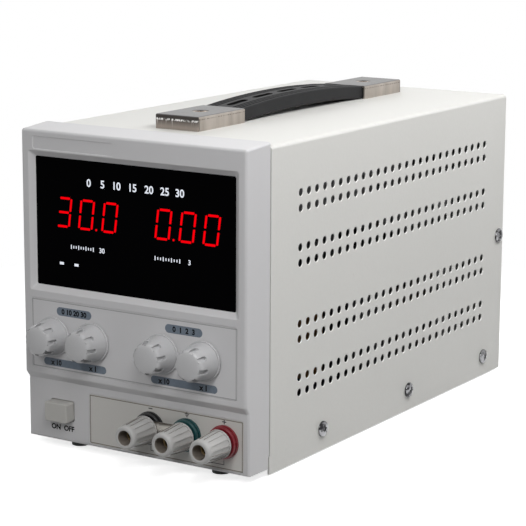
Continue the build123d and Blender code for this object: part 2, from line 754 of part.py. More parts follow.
with BuildPart() as potentiometers:
    for x in knob_x.values():
        with BuildSketch(facing_front(face_inside)):
            with Locations((x, knob_z)):
                Circle(POT_D / 2)
        extrude(amount=-POT_L)
        with BuildSketch(facing_front(face_inside)):
            with Locations((x, knob_z)):
                Circle(BUSH_D / 2)
        extrude(amount=face_inside - bush_front)
        with BuildSketch(facing_front(face_inside + POT_L - POT_REAR)):
            with Locations((x, knob_z)):
                Circle(SHAFT_D / 2 + SHAFT_RUN_GAP)
        extrude(amount=POT_L + face_inside - bush_front, mode=Mode.SUBTRACT)
save(potentiometers, "potentiometers")

with BuildPart() as pot_nuts:
    with BuildSketch(facing_front(label_face)):
        for x in knob_x.values():
            with Locations((x, knob_z)):
                RegularPolygon(POT_NUT_AF / 2, 6, major_radius=False)
                Circle(BUSH_D / 2 + THREAD_GAP, mode=Mode.SUBTRACT)
    extrude(amount=POT_NUT_T)
save(pot_nuts, "pot_nuts")

for name, x in knob_x.items():
    axis_plane = Plane((x, 0, knob_z), x_dir=(1, 0, 0), z_dir=(0, 0, 1))
    with BuildPart() as shaft:
        with BuildSketch(facing_front(shaft_back)):
            with Locations((x, knob_z)):
                Circle(SHAFT_D / 2)
        extrude(amount=shaft_back - shaft_front)
    save(shaft, f"{name}_shaft")

    with BuildPart() as knob:
        with BuildSketch(axis_plane):
            with BuildLine():
                Polyline(
                    (pocket_r, knob_rear),
                    (KNOB_FLANGE_D / 2, knob_rear),
                    (KNOB_FLANGE_D / 2, flange_front_y),
                    (KNOB_ROOT_D / 2, flange_front_y - KNOB_NECK),
                    (KNOB_TIP_D / 2, knob_front),
                    (0, knob_front),
                    (0, shaft_front),
                    (SHAFT_D / 2 + THREAD_GAP, shaft_front),
                    (SHAFT_D / 2 + THREAD_GAP, pocket_front),
                    (pocket_r, pocket_front),
                    close=True,
                )
            make_face()
        revolve(axis=Axis((x, 0, knob_z), (0, 1, 0)))
        tip_edge = knob.edges().filter_by(GeomType.CIRCLE).sort_by(Axis.Y)[0]
        fillet(tip_edge, KNOB_EDGE_R)
        # Grip slots: open at the front, round at the rear, their floors along the taper
        with BuildSketch(*[Plane(Pos(x, 0, knob_z) * place) for place in slot_places]):
            SlotOverall(2 * FLUTE_L, FLUTE_W, rotation=90)
        extrude(amount=KNOB_EDGE_R + FLUTE_W, mode=Mode.SUBTRACT)
    save(knob, f"{name}_knob")

# ------------------------------------------------------------------ power button and switch
button_front = low_face_y - BUTTON_OUT
button_back = sleeve_back - BUTTON_TRAVEL - BUTTON_BACK_GAP
stem_back = sleeve_back + STEM_L
switch_floor = stem_back + BUTTON_TRAVEL + STEM_END_GAP
with BuildPart() as power_button:
    with BuildSketch(facing_front(button_back)):
        with Locations((button_x, button_z)):
            RectangleRounded(BUTTON_W, BUTTON_H, BUTTON_R)
    extrude(amount=button_back - button_front)
    fillet(power_button.faces().sort_by(Axis.Y)[0].edges(), BUTTON_EDGE_R)
    with BuildSketch(facing_front(stem_back)):
        with Locations((button_x, button_z)):
            Rectangle(STEM, STEM)
    extrude(amount=stem_back - button_back)
save(power_button, "power_button")

with BuildPart() as power_switch:
    with BuildSketch(facing_front(sleeve_back)):
        with Locations((button_x, button_z)):
            Rectangle(SWITCH_W, SWITCH_H)
            Rectangle(STEM + 2 * STEM_GAP, STEM + 2 * STEM_GAP, mode=Mode.SUBTRACT)
    extrude(amount=sleeve_back - switch_floor)
    with BuildSketch(facing_front(switch_floor)):
        with Locations((button_x, button_z)):
            Rectangle(SWITCH_W, SWITCH_H)
    extrude(amount=switch_floor - sleeve_back - SWITCH_L)
    with BuildSketch(facing_front(sleeve_back + SWITCH_L)):
        with Locations((button_x, button_z)):
            with GridLocations(*SWITCH_PIN_PITCH, 2, 2):
                Rectangle(SWITCH_PIN[0], SWITCH_PIN[1])
    extrude(amount=-SWITCH_PIN[2])
save(power_switch, "power_switch")

# ------------------------------------------------------------------ binding posts
flange_front = low_face_y - POST_FLANGE_OUT
link_back = flange_front - LINK_GAP
link_front = link_back - LINK_T
cap_back = link_front - LINK_GAP
cap_front = cap_back - CAP_L
stud_front = low_face_y - STUD_OUT
stud_back = low_inside + STUD_IN
insert_back = cap_back - INSERT_SINK
insert_front = insert_back - INSERT_L
cap_taper = degrees(atan((CAP_REAR_D - CAP_FRONT_D) / 2 / CAP_L))
cap_bore_end = insert_front - FIT_GAP
flute_front = cap_front + CAP_NOSE
flute_back = cap_back - CAP_COLLAR
flute_r = CAP_FRONT_D / 2 + (CAP_REAR_D - CAP_FRONT_D) / 2 * CAP_NOSE / CAP_L
flute_places = []
for i in range(CAP_FLUTES):
    start = Pos(0, flute_front, flute_r + CAP_FLUTE_D / 2 - CAP_FLUTE_DEPTH)
    flute_places.append(Rotation(0, i * 360 / CAP_FLUTES, 0) * start * Rotation(cap_taper - 90, 0, 0))

for name, x in post_x.items():
    with BuildPart() as post_flange:
        with BuildSketch(facing_front(terminal_face)):
            with Locations((x, post_z)):
                Circle(POST_FLANGE_D / 2)
        extrude(amount=terminal_face - flange_front)
        rim = post_flange.edges().filter_by(GeomType.CIRCLE).sort_by(Axis.Y)[0]
        fillet(rim, POST_FLANGE_EDGE_R)
        with BuildSketch(facing_front(low_face_y - POST_GROOVE_AT)):
            with Locations((x, post_z)):
                Circle(POST_FLANGE_D / 2 + POST_GROOVE[1])
                Circle(POST_FLANGE_D / 2 - POST_GROOVE[1], mode=Mode.SUBTRACT)
        extrude(amount=POST_GROOVE[0] / 2, both=True, mode=Mode.SUBTRACT)
        with BuildSketch(facing_front(low_inside - NECK_SHORT)):
            with Locations((x, post_z)):
                Circle(NECK_D / 2)
        extrude(amount=low_inside - NECK_SHORT - terminal_face)
        with BuildSketch(facing_front(low_inside)):
            with Locations((x, post_z)):
                Circle(STUD_D / 2 + THREAD_GAP)
        extrude(amount=low_inside - flange_front + 1, mode=Mode.SUBTRACT)
    save(post_flange, f"{name}_flange")

    with BuildPart() as post_stud:
        with BuildSketch(facing_front(stud_back)):
            with Locations((x, post_z)):
                Circle(STUD_D / 2)
        extrude(amount=stud_back - stud_front)
        chamfer(post_stud.faces().sort_by(Axis.Y)[0].edges(), SOCKET_CHAMFER)
        with BuildSketch(facing_front(stud_front)):
            with Locations((x, post_z)):
                Circle(SOCKET_D / 2)
        extrude(amount=-SOCKET_DEPTH, mode=Mode.SUBTRACT)
    save(post_stud, f"{name}_stud")

    with BuildPart() as cap_insert:
        with BuildSketch(facing_front(insert_back)):
            with Locations((x, post_z)):
                Circle(INSERT_D / 2)
                Circle(STUD_D / 2 + INSERT_RUN_GAP, mode=Mode.SUBTRACT)
        extrude(amount=INSERT_L)
    save(cap_insert, f"{name}_insert")

    with BuildPart() as post_cap:
        with BuildSketch(Plane.XY.offset(post_z)):
            with BuildLine(Plane((x, 0, 0))):
                Polyline(
                    (INSERT_D / 2 + INSERT_RUN_GAP, cap_back),
                    (CAP_REAR_D / 2, cap_back),
                    (CAP_FRONT_D / 2, cap_front),
                    (CAP_MOUTH_D / 2, cap_front),
                    (CAP_MOUTH_D / 2, cap_bore_end),
                    (INSERT_D / 2 + INSERT_RUN_GAP, cap_bore_end),
                    close=True,
                )
            make_face()
        revolve(axis=Axis((x, 0, post_z), (0, 1, 0)))
        front_edges = post_cap.edges().filter_by(GeomType.CIRCLE).group_by(Axis.Y)[0]
        fillet(front_edges.sort_by(SortBy.RADIUS)[-1], CAP_NOSE_R)
        with BuildSketch(*[Plane(Pos(x, 0, post_z) * place) for place in flute_places]):
            Circle(CAP_FLUTE_D / 2)
        extrude(amount=(flute_back - flute_front) / cos(radians(cap_taper)), mode=Mode.SUBTRACT)
    save(post_cap, f"{name}_cap")

with BuildPart() as post_nuts:
    with BuildSketch(facing_front(low_inside)):
        for x in post_x.values():
            with Locations((x, post_z)):
                RegularPolygon(POST_NUT_AF / 2, 6, major_radius=False)
                Circle(STUD_D / 2 + THREAD_GAP, mode=Mode.SUBTRACT)
    extrude(amount=-POST_NUT_T)
save(post_nuts, "post_nuts")

link_span = post_x["ground"] - post_x["negative"]
link_r = STUD_D / 2 + LINK_HOLE_GAP
# The hook's slot is curved about the other post, so that the link can swing up off the stud
with BuildSketch(facing_front(link_back)) as hook_slot:
    with Locations((post_x["negative"], post_z)):
        Circle(link_span + link_r)
        Circle(link_span - link_r, mode=Mode.SUBTRACT)
    with Locations((post_x["ground"], post_z)):
        Rectangle(2 * LINK_H, LINK_H, align=(Align.CENTER, Align.MAX), mode=Mode.INTERSECT)
with BuildPart() as shorting_link:
    with BuildSketch(facing_front(link_back)):
        with Locations(((post_x["negative"] + post_x["ground"]) / 2, post_z)):
            SlotCenterToCenter(link_span, LINK_H)
        with Locations((post_x["negative"], post_z), (post_x["ground"], post_z)):
            Circle(link_r, mode=Mode.SUBTRACT)
        add(hook_slot.sketch, mode=Mode.SUBTRACT)
    extrude(amount=LINK_T)
save(shorting_link, "shorting_link")

# ------------------------------------------------------------------ handle
cap_top = cover_top + HANDLE_CAP_H
span_half = HANDLE_L / 2 - HANDLE_CAP_L
screw_top = cap_top - DIMPLE_DEPTH

for name, side in (("handle_cap_front", -1), ("handle_cap_rear", 1)):
    cap_mid = handle_y + side * handle_hole
    with BuildPart() as handle_cap:
        with BuildSketch(Plane.XY.offset(cover_top)):
            with Locations((HANDLE_X, cap_mid)):
                Rectangle(HANDLE_CAP_W, HANDLE_CAP_L)
        extrude(amount=HANDLE_CAP_H)
        outer_end = handle_cap.faces().sort_by(Axis.Y)[0 if side < 0 else -1]
        fillet(outer_end.edges().filter_by(Axis.Z), HANDLE_EDGE_R)
        top_edges = handle_cap.faces().sort_by(Axis.Z)[-1].edges()
        fillet(top_edges.filter_by(lambda e: side * (e.center().Y - cap_mid) > 1 - HANDLE_CAP_L / 2), HANDLE_EDGE_R)
        with BuildSketch(Plane.XY.offset(cover_top)):
            with Locations((HANDLE_X, cap_mid - side * HANDLE_SHEET)):
                Rectangle(HANDLE_CAP_W - 2 * HANDLE_SHEET, HANDLE_CAP_L)
        extrude(amount=HANDLE_CAP_H - HANDLE_SHEET, mode=Mode.SUBTRACT)
        with BuildSketch(Plane.XY.offset(cover_top)):
            with Locations((HANDLE_X, cap_mid + side * (HANDLE_CAP_L / 2 - HANDLE_SHEET))):
                Rectangle(HANDLE_CAP_W, HANDLE_SEAM)
        extrude(amount=HANDLE_CAP_H - HANDLE_SHEET, mode=Mode.SUBTRACT)
        with BuildSketch(Plane.XY.offset(cap_top - HANDLE_SHEET / 2)):
            with Locations((HANDLE_X, cap_mid)):
                Circle(DIMPLE_D / 2)
        extrude(amount=-DIMPLE_DEPTH - HANDLE_SHEET / 2, taper=DIMPLE_TAPER)
        with BuildSketch(Plane.XY.offset(cap_top)):
            with Locations((HANDLE_X, cap_mid)):
                Circle(DIMPLE_D / 2 - DIMPLE_WALL)
        extrude(amount=-DIMPLE_DEPTH, taper=DIMPLE_TAPER, mode=Mode.SUBTRACT)
        with BuildSketch(Plane.XY.offset(cap_top)):
            with Locations((HANDLE_X, cap_mid)):
                Circle(HANDLE_SCREW_D / 2 + THREAD_GAP)
        extrude(amount=-HANDLE_CAP_H, mode=Mode.SUBTRACT)
    save(handle_cap, name)

with BuildPart() as handle_screws:
    for side in (-1, 1):
        seat = Plane.XY.offset(screw_top)
        with BuildSketch(seat):
            with Locations((HANDLE_X, handle_y + side * handle_hole)):
                Circle(HANDLE_SCREW_HEAD / 2)
        extrude(amount=HANDLE_SCREW_HEAD_H, taper=SCREW_HEAD_TAPER)
        with BuildSketch(seat):
            with Locations((HANDLE_X, handle_y + side * handle_hole)):
                Circle(HANDLE_SCREW_D / 2)
        extrude(amount=cover_top - HANDLE_SCREW_IN - screw_top)
save(handle_screws, "handle_screws")

strap_low = cover_top + STRAP_LIFT
strap_top = strap_low + STRAP_T
open_top = strap_top + STRAP_SWELL


def strap_view(drop):
    """Side view of the bowed strap, its upper face lowered by a drop."""
    with BuildSketch(facing_right(HANDLE_X)) as view:
        with BuildLine():
            low = ThreePointArc(
                (handle_y - span_half, strap_low),
                (handle_y, strap_low + STRAP_BOW_LOW),
                (handle_y + span_half, strap_low),
            )
            high = ThreePointArc(
                (handle_y - span_half, open_top - drop),
                (handle_y, open_top + STRAP_BOW_HIGH - drop),
                (handle_y + span_half, open_top - drop),
            )
            Line(low @ 0, high @ 0)
            Line(low @ 1, high @ 1)
        make_face()
    return view.sketch


def strap_piece(y0, y1):
    """Stretch of the strap between two places, with its ribs and its middle band of slots."""
    with BuildPart() as piece:
        extrude(rib_view, amount=BAND_W / 2, both=True)
        with BuildSketch(Plane.XY.offset(strap_low)):
            with Locations((HANDLE_X, handle_y)):
                with GridLocations(1, STRAP_SLOT_PITCH, 1, STRAP_SLOTS):
                    SlotOverall(STRAP_SLOT_L, STRAP_SLOT_W, rotation=90)
        extrude(amount=cap_top, mode=Mode.SUBTRACT)
        extrude(body_view, amount=STRAP_W / 2, both=True)
        for x in rib_places:
            extrude(rib_view.moved(Location((x, 0, 0))), amount=RIB_W / 2, both=True)
        with BuildSketch(Plane.XY.offset(strap_low)):
            with Locations((HANDLE_X, (y0 + y1) / 2)):
                Rectangle(STRAP_W, y1 - y0)
        extrude(amount=cap_top, mode=Mode.INTERSECT)
    return piece


body_view = strap_view(RIB_H)
rib_view = strap_view(0)
rib_places = []
for i in range(RIBS):
    rib_x = (STRAP_W - RIB_W) / 2 - i * RIB_PITCH
    rib_places += [-rib_x, rib_x]
save(strap_piece(handle_y - span_half, handle_y - GRIP_L / 2), "strap_front")
save(strap_piece(handle_y - GRIP_L / 2, handle_y + GRIP_L / 2), "handle_grip")
save(strap_piece(handle_y + GRIP_L / 2, handle_y + span_half), "strap_rear")

with BuildPart() as strap_tabs:
    for side in (-1, 1):
        tab_l = HANDLE_CAP_L - HANDLE_SHEET - TAB_GAP
        tab_mid = handle_y + side * (span_half + tab_l / 2)
        with BuildSketch(Plane.XY.offset(strap_low)):
            with Locations((HANDLE_X, tab_mid)):
                Rectangle(STRAP_W, tab_l)
            with Locations((HANDLE_X, handle_y + side * handle_hole)):
                SlotOverall(TAB_SLOT_L, DIMPLE_D + 2 * TAB_GAP, rotation=90, mode=Mode.SUBTRACT)
        extrude(amount=STRAP_T)
save(strap_tabs, "strap_tabs")

# ------------------------------------------------------------------ fan
fan_z = case_z(COVER_H - FAN_DROP)
fan_front = panel_in - FAN_T
spider_back = fan_front + SPIDER_T
rotor_front = spider_back + ROTOR_GAP
rotor_back = panel_in - ROTOR_GAP
bore_end = rotor_back - PIN_BORE_END
pin_end = bore_end - PIN_END_GAP

with BuildPart() as fan_housing:
    with BuildSketch(facing_front(panel_in)):
        with Locations((0, fan_z)):
            RectangleRounded(FAN_SIZE, FAN_SIZE, FAN_CORNER_R)
            Circle(FAN_BORE / 2, mode=Mode.SUBTRACT)
            with GridLocations(FAN_HOLES, FAN_HOLES, 2, 2):
                Circle(PANEL_SCREW_D / 2 + THREAD_GAP, mode=Mode.SUBTRACT)
    extrude(amount=FAN_T)
    with BuildSketch(facing_front(spider_back)):
        with Locations((0, fan_z)):
            Circle(FAN_HUB_D / 2)
            for turn in (SPIDER_TURN, SPIDER_TURN + 90):
                Rectangle((FAN_BORE + FAN_SIZE) / 2, SPIDER_W, rotation=turn)
    extrude(amount=SPIDER_T)
    with BuildSketch(facing_front(pin_end)):
        with Locations((0, fan_z)):
            Circle(FAN_PIN_D / 2)
    extrude(amount=pin_end - spider_back)
save(fan_housing, "fan_housing")

hub_r = ROTOR_HUB_D / 2
blade_low = rotor_front + BLADE_END
blade_high = rotor_back - BLADE_END
blade_mid = (blade_low + blade_high) / 2 + BLADE_BULGE
blade_ends = ((hub_r - BLADE_ROOT[0], BLADE_ROOT[1]), (ROTOR_D / 2 - BLADE_TIP[0], BLADE_TIP[1]))
with BuildPart() as fan_rotor:
    with BuildSketch(facing_front(rotor_back)):
        with Locations((0, fan_z)):
            Circle(hub_r)
    extrude(amount=rotor_back - rotor_front)
    for i in range(BLADES):
        turn = Rotation(0, i * 360 / BLADES, 0)
        for radius, reach in blade_ends:
            blade_plane = Plane((0, 0, radius), x_dir=(1, 0, 0), z_dir=(0, 0, 1))
            with BuildSketch(Plane(Pos(0, 0, fan_z) * turn * blade_plane.location)):
                with BuildLine():
                    front_curve = ThreePointArc(
                        (-reach, blade_low),
                        (-reach * BLADE_LEAN, blade_mid),
                        (reach, blade_high),
                    )
                    rear_curve = ThreePointArc(
                        (-reach + BLADE_T, blade_low),
                        (-reach * BLADE_LEAN + BLADE_T, blade_mid),
                        (reach + BLADE_T, blade_high),
                    )
                    Line(front_curve @ 0, rear_curve @ 0)
                    Line(front_curve @ 1, rear_curve @ 1)
                make_face()
        loft()
    with BuildSketch(facing_front(rotor_back)):
        with Locations((0, fan_z)):
            Circle(ROTOR_D / 2)
    extrude(amount=rotor_back - rotor_front, mode=Mode.INTERSECT)
    with BuildSketch(facing_front(bore_end)):
        with Locations((0, fan_z)):
            Circle(FAN_PIN_D / 2 + SHAFT_RUN_GAP)
    extrude(amount=bore_end - rotor_front, mode=Mode.SUBTRACT)
save(fan_rotor, "fan_rotor")

with BuildPart() as fan_guard:
    with BuildSketch(facing_front(panel_out + GUARD_T)):
        with Locations((0, fan_z)):
            for ring in reversed(GUARD_RINGS):
                Circle(ring + GUARD_RING_W / 2)
                Circle(ring - GUARD_RING_W / 2, mode=Mode.SUBTRACT)
            for turn in (45, 135):
                Rectangle(FAN_HOLES * 2**0.5, GUARD_RING_W, rotation=turn)
            with GridLocations(FAN_HOLES, FAN_HOLES, 2, 2):
                Circle(GUARD_EAR_D / 2)
                Circle(PANEL_SCREW_D / 2 + HOLE_GAP, mode=Mode.SUBTRACT)
    extrude(amount=GUARD_T)
save(fan_guard, "fan_guard")

# ------------------------------------------------------------------ mains inlet and fuse
inlet_z = case_z(INLET_Z)
inlet_back = panel_out + INLET_FLANGE_T
with BuildPart() as mains_inlet:
    with BuildSketch(facing_front(inlet_back)):
        with Locations((inlet_x, inlet_z)):
            RectangleRounded(INLET_FLANGE_W, INLET_FLANGE_H, INLET_CORNER_R)
            with GridLocations(INLET_HOLES, 1, 2, 1):
                Circle(PANEL_SCREW_D / 2 + HOLE_GAP, mode=Mode.SUBTRACT)
    extrude(amount=INLET_FLANGE_T)
    with BuildSketch(facing_front(panel_out)):
        with Locations((inlet_x, inlet_z)):
            Rectangle(INLET_BODY_W, INLET_BODY_H)
    extrude(amount=INLET_BODY_L)
    with BuildSketch(facing_front(inlet_back)) as cavity:
        with Locations((inlet_x, inlet_z)):
            Rectangle(INLET_CAVITY_W, INLET_CAVITY_H)
        chamfer(cavity.vertices().group_by(Axis.Y)[-1], INLET_KEY)
    extrude(amount=INLET_CAVITY_L, mode=Mode.SUBTRACT)
    with BuildSketch(facing_front(inlet_back - PIN_SHORT)):
        with Locations((inlet_x, inlet_z)):
            with Locations((-PIN_PITCH, -PIN_OFFSET), (0, PIN_OFFSET), (PIN_PITCH, -PIN_OFFSET)):
                Rectangle(PIN_W, PIN_H)
    extrude(amount=INLET_CAVITY_L - PIN_SHORT)
save(mains_inlet, "mains_inlet")

fuse_z = case_z(FUSE_Z)
holder_back = panel_out + FUSE_FLANGE_T
fuse_cap_rear = holder_back + FIT_GAP + FUSE_CAP_L
plug_front = holder_back + FIT_GAP - FUSE_PLUG_L
with BuildPart() as fuse_holder:
    with BuildSketch(facing_front(holder_back)):
        with Locations((fuse_x, fuse_z)):
            Circle(FUSE_FLANGE_D / 2)
    extrude(amount=FUSE_FLANGE_T)
    with BuildSketch(facing_front(panel_out)):
        with Locations((fuse_x, fuse_z)):
            Circle(FUSE_BODY_D / 2)
    extrude(amount=FUSE_BODY_L)
    with BuildSketch(facing_front(holder_back)):
        with Locations((fuse_x, fuse_z)):
            Circle(FUSE_BORE_D / 2)
    extrude(amount=FUSE_BODY_L, mode=Mode.SUBTRACT)
save(fuse_holder, "fuse_holder")

with BuildPart() as fuse_cap:
    with BuildSketch(facing_front(fuse_cap_rear)):
        with Locations((fuse_x, fuse_z)):
            Circle(FUSE_CAP_D / 2)
            with PolarLocations(FUSE_CAP_D / 2 + FUSE_FLUTE_OUT, FUSE_CAP_FLUTES):
                Circle(FUSE_FLUTE_R, mode=Mode.SUBTRACT)
    extrude(amount=FUSE_CAP_L)
    with BuildSketch(facing_front(fuse_cap_rear)):
        with Locations((fuse_x, fuse_z)):
            Rectangle(FUSE_SLOT[0], FUSE_SLOT[1])
    extrude(amount=FUSE_SLOT[2], mode=Mode.SUBTRACT)
    with BuildSketch(facing_front(holder_back + FIT_GAP)):
        with Locations((fuse_x, fuse_z)):
            Circle(FUSE_PLUG_D / 2)
    extrude(amount=FUSE_PLUG_L)
save(fuse_cap, "fuse_cap")

with BuildPart() as fuse:
    with BuildSketch(facing_front(plug_front)):
        with Locations((fuse_x, fuse_z)):
            Circle(FUSE_D / 2)
    extrude(amount=FUSE_L)
save(fuse, "fuse")

# ------------------------------------------------------------------ heat sink, transformer, board
sink_back = fan_front - SINK_TO_FAN
fin_root = sink_back - FIN_L
sink_front = fin_root - SINK_T
sink_w = 2 * (inner_half - SINK_MARGIN)
with BuildPart() as heat_sink:
    with BuildSketch(Plane.XY.offset(base_top)):
        with Locations((0, (sink_front + fin_root) / 2)):
            Rectangle(sink_w, SINK_T)
        with Locations((0, (fin_root + sink_back) / 2)):
            with GridLocations((sink_w - FIN_T) / (FINS - 1), 1, FINS, 1):
                Rectangle(FIN_T, FIN_L)
    extrude(amount=SINK_H)
save(heat_sink, "heat_sink")

with BuildPart() as power_transistors:
    with BuildSketch(facing_front(sink_front)):
        for x in TRANSISTOR_X:
            with Locations((x, base_top + TRANSISTOR_RISE)):
                Rectangle(TRANSISTOR[0], TRANSISTOR[1])
                with Locations((0, TRANSISTOR[1] / 4)):
                    Circle(TRANSISTOR_HOLE_D / 2, mode=Mode.SUBTRACT)
    extrude(amount=TRANSISTOR[2])
    with BuildSketch(facing_front(sink_front - LEG_BACK)):
        for x in TRANSISTOR_X:
            with Locations((x, base_top + TRANSISTOR_RISE - TRANSISTOR[1] / 2 - LEG[1] / 2)):
                with GridLocations(LEG_PITCH, 1, 3, 1):
                    Rectangle(LEG[0], LEG[1])
    extrude(amount=LEG[2])
save(power_transistors, "power_transistors")

core_y = seam_y + CORE_Y
core_z = base_top + CORE_H / 2
slot_w = (CORE_W - CORE_LEG - 2 * CORE_YOKE) / 2
slot_h = CORE_H - 2 * CORE_YOKE
with BuildPart() as transformer_core:
    with BuildSketch(facing_front(core_y + CORE_T / 2)):
        with Locations((0, core_z)):
            Rectangle(CORE_W, CORE_H)
            with GridLocations(CORE_LEG + slot_w, 1, 2, 1):
                Rectangle(slot_w, slot_h, mode=Mode.SUBTRACT)
    extrude(amount=CORE_T)
save(transformer_core, "transformer_core")

with BuildPart() as transformer_winding:
    coil_w = CORE_LEG + 2 * slot_w - 2 * COIL_GAP
    with BuildSketch(Plane.XY.offset(core_z - slot_h / 2 + COIL_GAP)):
        with Locations((0, core_y)):
            RectangleRounded(coil_w, CORE_T + 2 * COIL_OUT, COIL_R)
            Rectangle(CORE_LEG + 2 * COIL_GAP, CORE_T + 2 * COIL_GAP, mode=Mode.SUBTRACT)
    extrude(amount=slot_h - 2 * COIL_GAP)
save(transformer_winding, "transformer_winding")

with BuildPart() as main_board:
    with BuildSketch(Plane.XY.offset(board_low)):
        with Locations((0, board_y)):
            Rectangle(board_w, BOARD_L)
    extrude(amount=BOARD_T)
save(main_board, "main_board")

with BuildPart() as filter_capacitors:
    for x, dy, diameter, height in CAPACITORS:
        with BuildSketch(Plane.XY.offset(board_low + BOARD_T)):
            with Locations((x, board_y + dy)):
                Circle(diameter / 2)
        extrude(amount=height)
save(filter_capacitors, "filter_capacitors")
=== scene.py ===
"""Bench power supply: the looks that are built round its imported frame.

Lengths in the modelling calls are millimetres in the frame's own axes: +X to the right seen from
the front, +Y to the rear, +Z up, the floor at zero. They are turned into metres in one place.
"""

from contextlib import contextmanager
from math import cos, pi, radians, sin, tan

import bpy
from mathutils import Matrix, Vector


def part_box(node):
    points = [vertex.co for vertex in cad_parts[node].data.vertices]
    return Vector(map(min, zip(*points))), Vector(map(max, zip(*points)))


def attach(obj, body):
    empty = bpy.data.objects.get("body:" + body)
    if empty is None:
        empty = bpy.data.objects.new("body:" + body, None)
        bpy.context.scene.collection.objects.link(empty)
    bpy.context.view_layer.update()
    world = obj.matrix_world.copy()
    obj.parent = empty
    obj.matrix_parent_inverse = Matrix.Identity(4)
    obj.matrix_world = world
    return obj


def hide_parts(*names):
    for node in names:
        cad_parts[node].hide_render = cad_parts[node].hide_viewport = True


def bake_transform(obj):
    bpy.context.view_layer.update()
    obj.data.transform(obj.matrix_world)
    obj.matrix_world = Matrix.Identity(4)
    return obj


bl_info = {
    "name": "Bench Power Supply",
    "version": (1, 0, 0),
    "blender": (4, 5, 0),
    "location": "View3D > Sidebar > Power Supply",
    "description": "Models and finishes a bench power supply round its packed frame",
    "category": "Object",
}

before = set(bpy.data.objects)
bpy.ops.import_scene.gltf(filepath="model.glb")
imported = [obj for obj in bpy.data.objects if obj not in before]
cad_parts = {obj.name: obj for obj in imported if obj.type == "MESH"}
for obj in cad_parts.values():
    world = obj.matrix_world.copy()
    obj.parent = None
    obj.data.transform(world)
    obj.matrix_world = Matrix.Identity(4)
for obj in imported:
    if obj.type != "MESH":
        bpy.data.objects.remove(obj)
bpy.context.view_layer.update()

MM = 0.001
FRONT = (pi / 2, 0, 0)
REAR = (pi / 2, 0, pi)
RIGHT = (pi / 2, 0, pi / 2)
LEFT = (pi / 2, 0, -pi / 2)
TOP = (0, 0, 0)


def corners(node):
    """Lowest and highest corner of a frame node, in millimetres."""
    low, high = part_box(node)
    return low / MM, high / MM


# ------------------------------------------------------------------ places taken from the frame
cover_low, cover_high = corners("top_cover")
bezel_low, bezel_high = corners("front_bezel")
window_low, window_high = corners("display_window")
control_low, control_high = corners("control_label")
terminal_low, terminal_high = corners("terminal_label")
button_low, button_high = corners("power_button")
grip_low, grip_high = corners("handle_grip")
strap_front_low = corners("strap_front")[0]
strap_rear_high = corners("strap_rear")[1]
guard_low, guard_high = corners("fan_guard")

COVER_L = 249.5
seam_y = cover_high.y - COVER_L
face_y = bezel_low.y
STEP_BACK = 2.55
low_face_y = face_y + STEP_BACK
base_z = cover_low.z
label_y = control_low.y
terminal_y = terminal_low.y

# ------------------------------------------------------------------ sizes seen on the pieces
BEZEL_DRAFT = 0.5
BEZEL_TOP_DROP = 1.5
BEZEL_WALL = 3.0
STEP_LOW_Z = 35.0
STEP_HIGH_Z = 38.3
RECESS_DEPTH = 0.4
VENT_BANDS = (38.8, 65.7, 103.6, 130.6)
VENT_ROW_GAP = 7.65
VENT_COUNT = 27
COVER_SCREWS = ((48.9, 11.2), (138.7, 11.2), (227.5, 11.2), (243.6, 79.4))
KNOBS = ("voltage_coarse", "voltage_fine", "current_coarse", "current_fine")
POSTS = ("negative", "ground", "positive")
DIGIT_H = 15.3
DIGIT_W = 8.9
DIGIT_STROKE = 1.15
DIGIT_Z = 121.45
DIGIT_LEAN = radians(7.4)
PRINT_T = 0.03


# ------------------------------------------------------------------ user settings
class CaseSettings(bpy.types.PropertyGroup):
    """Sheet-metal cover and moulded bezel."""

    sheet: bpy.props.FloatProperty(
        name="Sheet", description="Thickness of the cover's steel", default=0.0012, unit="LENGTH"
    )
    bend: bpy.props.FloatProperty(
        name="Bend radius", description="Outer radius of the cover's folds", default=0.002, unit="LENGTH"
    )
    vent: bpy.props.FloatProperty(
        name="Vent hole", description="Diameter of the side holes", default=0.0039, unit="LENGTH"
    )
    vent_pitch: bpy.props.FloatProperty(
        name="Vent pitch", description="Distance between vent columns", default=0.007566, unit="LENGTH"
    )
    bezel_edge: bpy.props.FloatProperty(
        name="Bezel edge", description="Rounding of the bezel's outer edges", default=0.0014, unit="LENGTH"
    )
    cover_colour: bpy.props.FloatVectorProperty(
        name="Cover paint", description="Powder coat of the cover", subtype="COLOR", default=(0.8, 0.795, 0.765)
    )
    bezel_colour: bpy.props.FloatVectorProperty(
        name="Bezel plastic", description="Moulded front", subtype="COLOR", default=(0.70, 0.695, 0.705)
    )


class PanelSettings(bpy.types.PropertyGroup):
    """Readings, knobs, button and terminals."""

    volts: bpy.props.StringProperty(
        name="Left reading", description="Digits of the left display", default="30.0"
    )
    amps: bpy.props.StringProperty(
        name="Right reading", description="Digits of the right display", default="0.00"
    )
    digit_colour: bpy.props.FloatVectorProperty(
        name="Digits", description="Light of the digits", subtype="COLOR", default=(1.0, 0.0, 0.004)
    )
    knob_slots: bpy.props.IntProperty(
        name="Knob slots", description="Grip slots round each knob", default=8
    )
    cap_flutes: bpy.props.IntProperty(
        name="Cap flutes", description="Flutes round each terminal cap", default=14
    )
    knob_colour: bpy.props.FloatVectorProperty(
        name="Knob plastic", description="Pale knobs", subtype="COLOR", default=(0.60, 0.60, 0.61)
    )


# ------------------------------------------------------------------ modelling helpers
def choose(*objs):
    """Selects these objects and nothing else."""
    for obj in bpy.context.selected_objects:
        obj.select_set(False)
    for obj in objs:
        obj.select_set(True)
    if objs:
        bpy.context.view_layer.objects.active = objs[0]


def begun(name):
    """Names the primitive that was just added and puts its place into its mesh."""
    obj = bpy.context.object
    obj.name = name
    obj.data.name = name
    bpy.ops.object.transform_apply(location=True, rotation=True, scale=True)
    return obj


